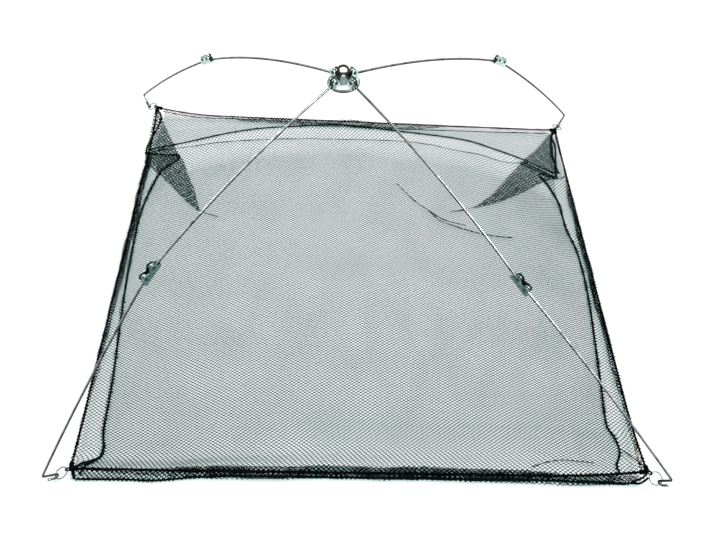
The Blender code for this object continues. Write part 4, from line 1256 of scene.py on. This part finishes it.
# a loop of two turns, upright, with room for the ring to roll in it
LOOP_REACH, LOOP_HEIGHT, LOOP_SHIFT, LOOP_CORD = 3.2 * MM, 3.9 * MM, 0.8 * MM, 0.8 * MM
for arm in ARMS:
    hang = np.array(JOINT_AT[f"ring_roll_{arm}"])
    corner = CORNERS[arm]
    outward = hang - corner
    start = corner - outward * 0.2
    parts = [wound(start, outward, radius=3.9 * MM, turns=4, cord=0.9 * MM, width=6 * MM)]
    for side, ends in SIDES.items():
        if arm in ends:
            route = TOP_ROUTES[side] if ends[0] == arm else TOP_ROUTES[side][::-1]
            way = route[2] - route[0]
            parts.append(wound(route[1], way, radius=3.7 * MM, turns=5, cord=0.8 * MM, width=8 * MM))
    angles = np.linspace(0, 2 * math.pi, 30)
    across = LOOP_REACH * np.cos(angles) - 0.8 * MM + 1.5 * MM * np.minimum(np.cos(angles), 0)
    upright = Euler((0, RING_DIP, ring_place(arm).to_euler().z)).to_matrix()
    for shift in (-LOOP_SHIFT, LOOP_SHIFT):
        loop = np.stack([across, np.full(30, shift), LOOP_HEIGHT * np.sin(angles)], axis=1)
        parts.append(tube_arrays(loop @ np.array(upright).T + hang, LOOP_CORD, 6))
    make_piece(f"corner_lashing_{arm}", joined(parts), ROPE_BLACK, BAG, f"corner_loop_{arm}")
print("corners lashed", len(ARMS))

# %% [markdown]
# ## Ground and light
# The net lies on a white sweep under soft light. The ground is a real surface that takes the
# object's shadow. Its paint is a warm pale pink. A cool glow, seen only by the camera, by mirrors
# and through glass, is added to it. Together they pass white where nothing shades the ground, and
# under the netting, where half of the light is gone, the cool glow is what is left. That gives the
# blue-green gaps between the twines without any more light falling on the object. Far from the
# net, where the lamps reach less, the glow is white, so that the sweep stays white from any side.

# %% Ground
GROUND_PAINT = (0.74, 0.52, 0.53)
GROUND_GLOW = (0.40, 0.62, 0.605)
GLOW_AWAY = (0.60, 0.77, 0.76)
GROUND_HALF, GROUND_DROP = 30.0, 0.6 * MM

finish = Finish("ground_white", GROUND_PAINT, 0.9, 0.0, 0.0)
seen = finish.node("ShaderNodeLightPath", output="Is Camera Ray")
for kind in ("Is Glossy Ray", "Is Transmission Ray"):
    seen = seen.maths("MAXIMUM", seen, finish.node("ShaderNodeLightPath", output=kind))
away = finish.node("ShaderNodeVectorMath", {"operation": "LENGTH"}, {0: finish.place()}, output="Value")
glow = finish.mix(finish.between(away, 0.9, 1.6), GROUND_GLOW, GLOW_AWAY)
finish.set("Emission Color", finish.mix(seen, (0.0, 0.0, 0.0), glow))
finish.set("Emission Strength", 1.0)
corners = np.array([(-1, -1, 0), (1, -1, 0), (1, 1, 0), (-1, 1, 0)]) * GROUND_HALF
ground = new_object("ground", mesh_from("ground", (corners, [(0, 1, 2, 3)]), finish.material))
ground.location.z = -GROUND_DROP
print("ground laid")

# %% Light
SKY_LIGHT, SKY_SEEN = 0.55, 1.1
world = bpy.data.worlds.new("studio")
bpy.context.scene.world = world
world.use_nodes = True
studio = Nodes(world.node_tree)
sky = world.node_tree.nodes["Background"]
seen = studio.node("ShaderNodeLightPath", output="Is Camera Ray")
studio.feed(sky.inputs["Color"], (1.0, 1.0, 1.0))
studio.feed(sky.inputs["Strength"], seen * (SKY_SEEN - SKY_LIGHT) + SKY_LIGHT)


def soft_lamp(name, place, size, power):
    lamp = new_object(name, bpy.data.lights.new(name, "AREA"))
    set_up(lamp.data, {"shape": "DISK", "size": size, "energy": power})
    lamp.location = place
    lamp.rotation_euler = Vector(place).to_track_quat("Z", "Y").to_euler()


soft_lamp("softbox_right", (2.2, -0.6, 2.6), 1.6, 60)
soft_lamp("softbox_left", (-2.0, 1.2, 2.8), 1.8, 45)
bpy.context.scene.view_settings.view_transform = "Standard"
print("lamps set")

# %% [markdown]
# Every piece of netting is a sheet, cut flat. The floor is cut nearly square and laid between its
# ropes. A wall is a strip 15 cm deep and as long as its edge, less what is tucked in at the left,
# and a tuck is a leaf of two layers. A net is mostly holes, so the area of a sheet is only the part
# of its cut that is twine. It follows from the mesh: a diamond holds two bars and one joint, and a
# bar's area is that of the twine pressed flat, which is half of its surface.

WALL_LENGTHS = {"near": 1.0, "right": 0.95, "far": 1.0, "left": 0.85}


def twine_part(wide, deep, radius, joint_half_width=0.0):
    """The part of a netting's cut that is twine pressed flat."""
    bar = math.hypot(wide / 2, deep / 2)
    pressed_width = 2 * math.sqrt(2) * radius
    return (2 * bar * pressed_width + 2 * JOINT_REACH * joint_half_width) / (wide * deep / 2)


def declare(name, flat, part):
    print(name, "flat", [round(side, 3) for side in flat], "area over flat size", round(part, 3))
    area = part * flat[0] * flat[1]


part = twine_part(DIAMOND_WIDE, DIAMOND_DEEP, TWINE_RADIUS)
declare("floor_netting", FLOOR_CUT, part)
for side, length in WALL_LENGTHS.items():
    part = twine_part(*WALL_DIAMONDS[side], TWINE_RADIUS, WALL_JOINT) * DRAWN_PART[side]
    declare(f"wall_netting_{side}", (length, WALL_DEPTH), part)
square = LEAF_STEP * math.sqrt(2)
part = twine_part(square, square, LEAF_TWINE)
for arm, outline in OUTLINES.items():
    x, y = outline.T
    leaf = abs(x @ np.roll(y, -1) - y @ np.roll(x, -1)) / 2
    length = math.dist(outline[0], outline[y.argmin()])
    declare(f"{arm}_tuck_netting", (2 * leaf / length, length), part)
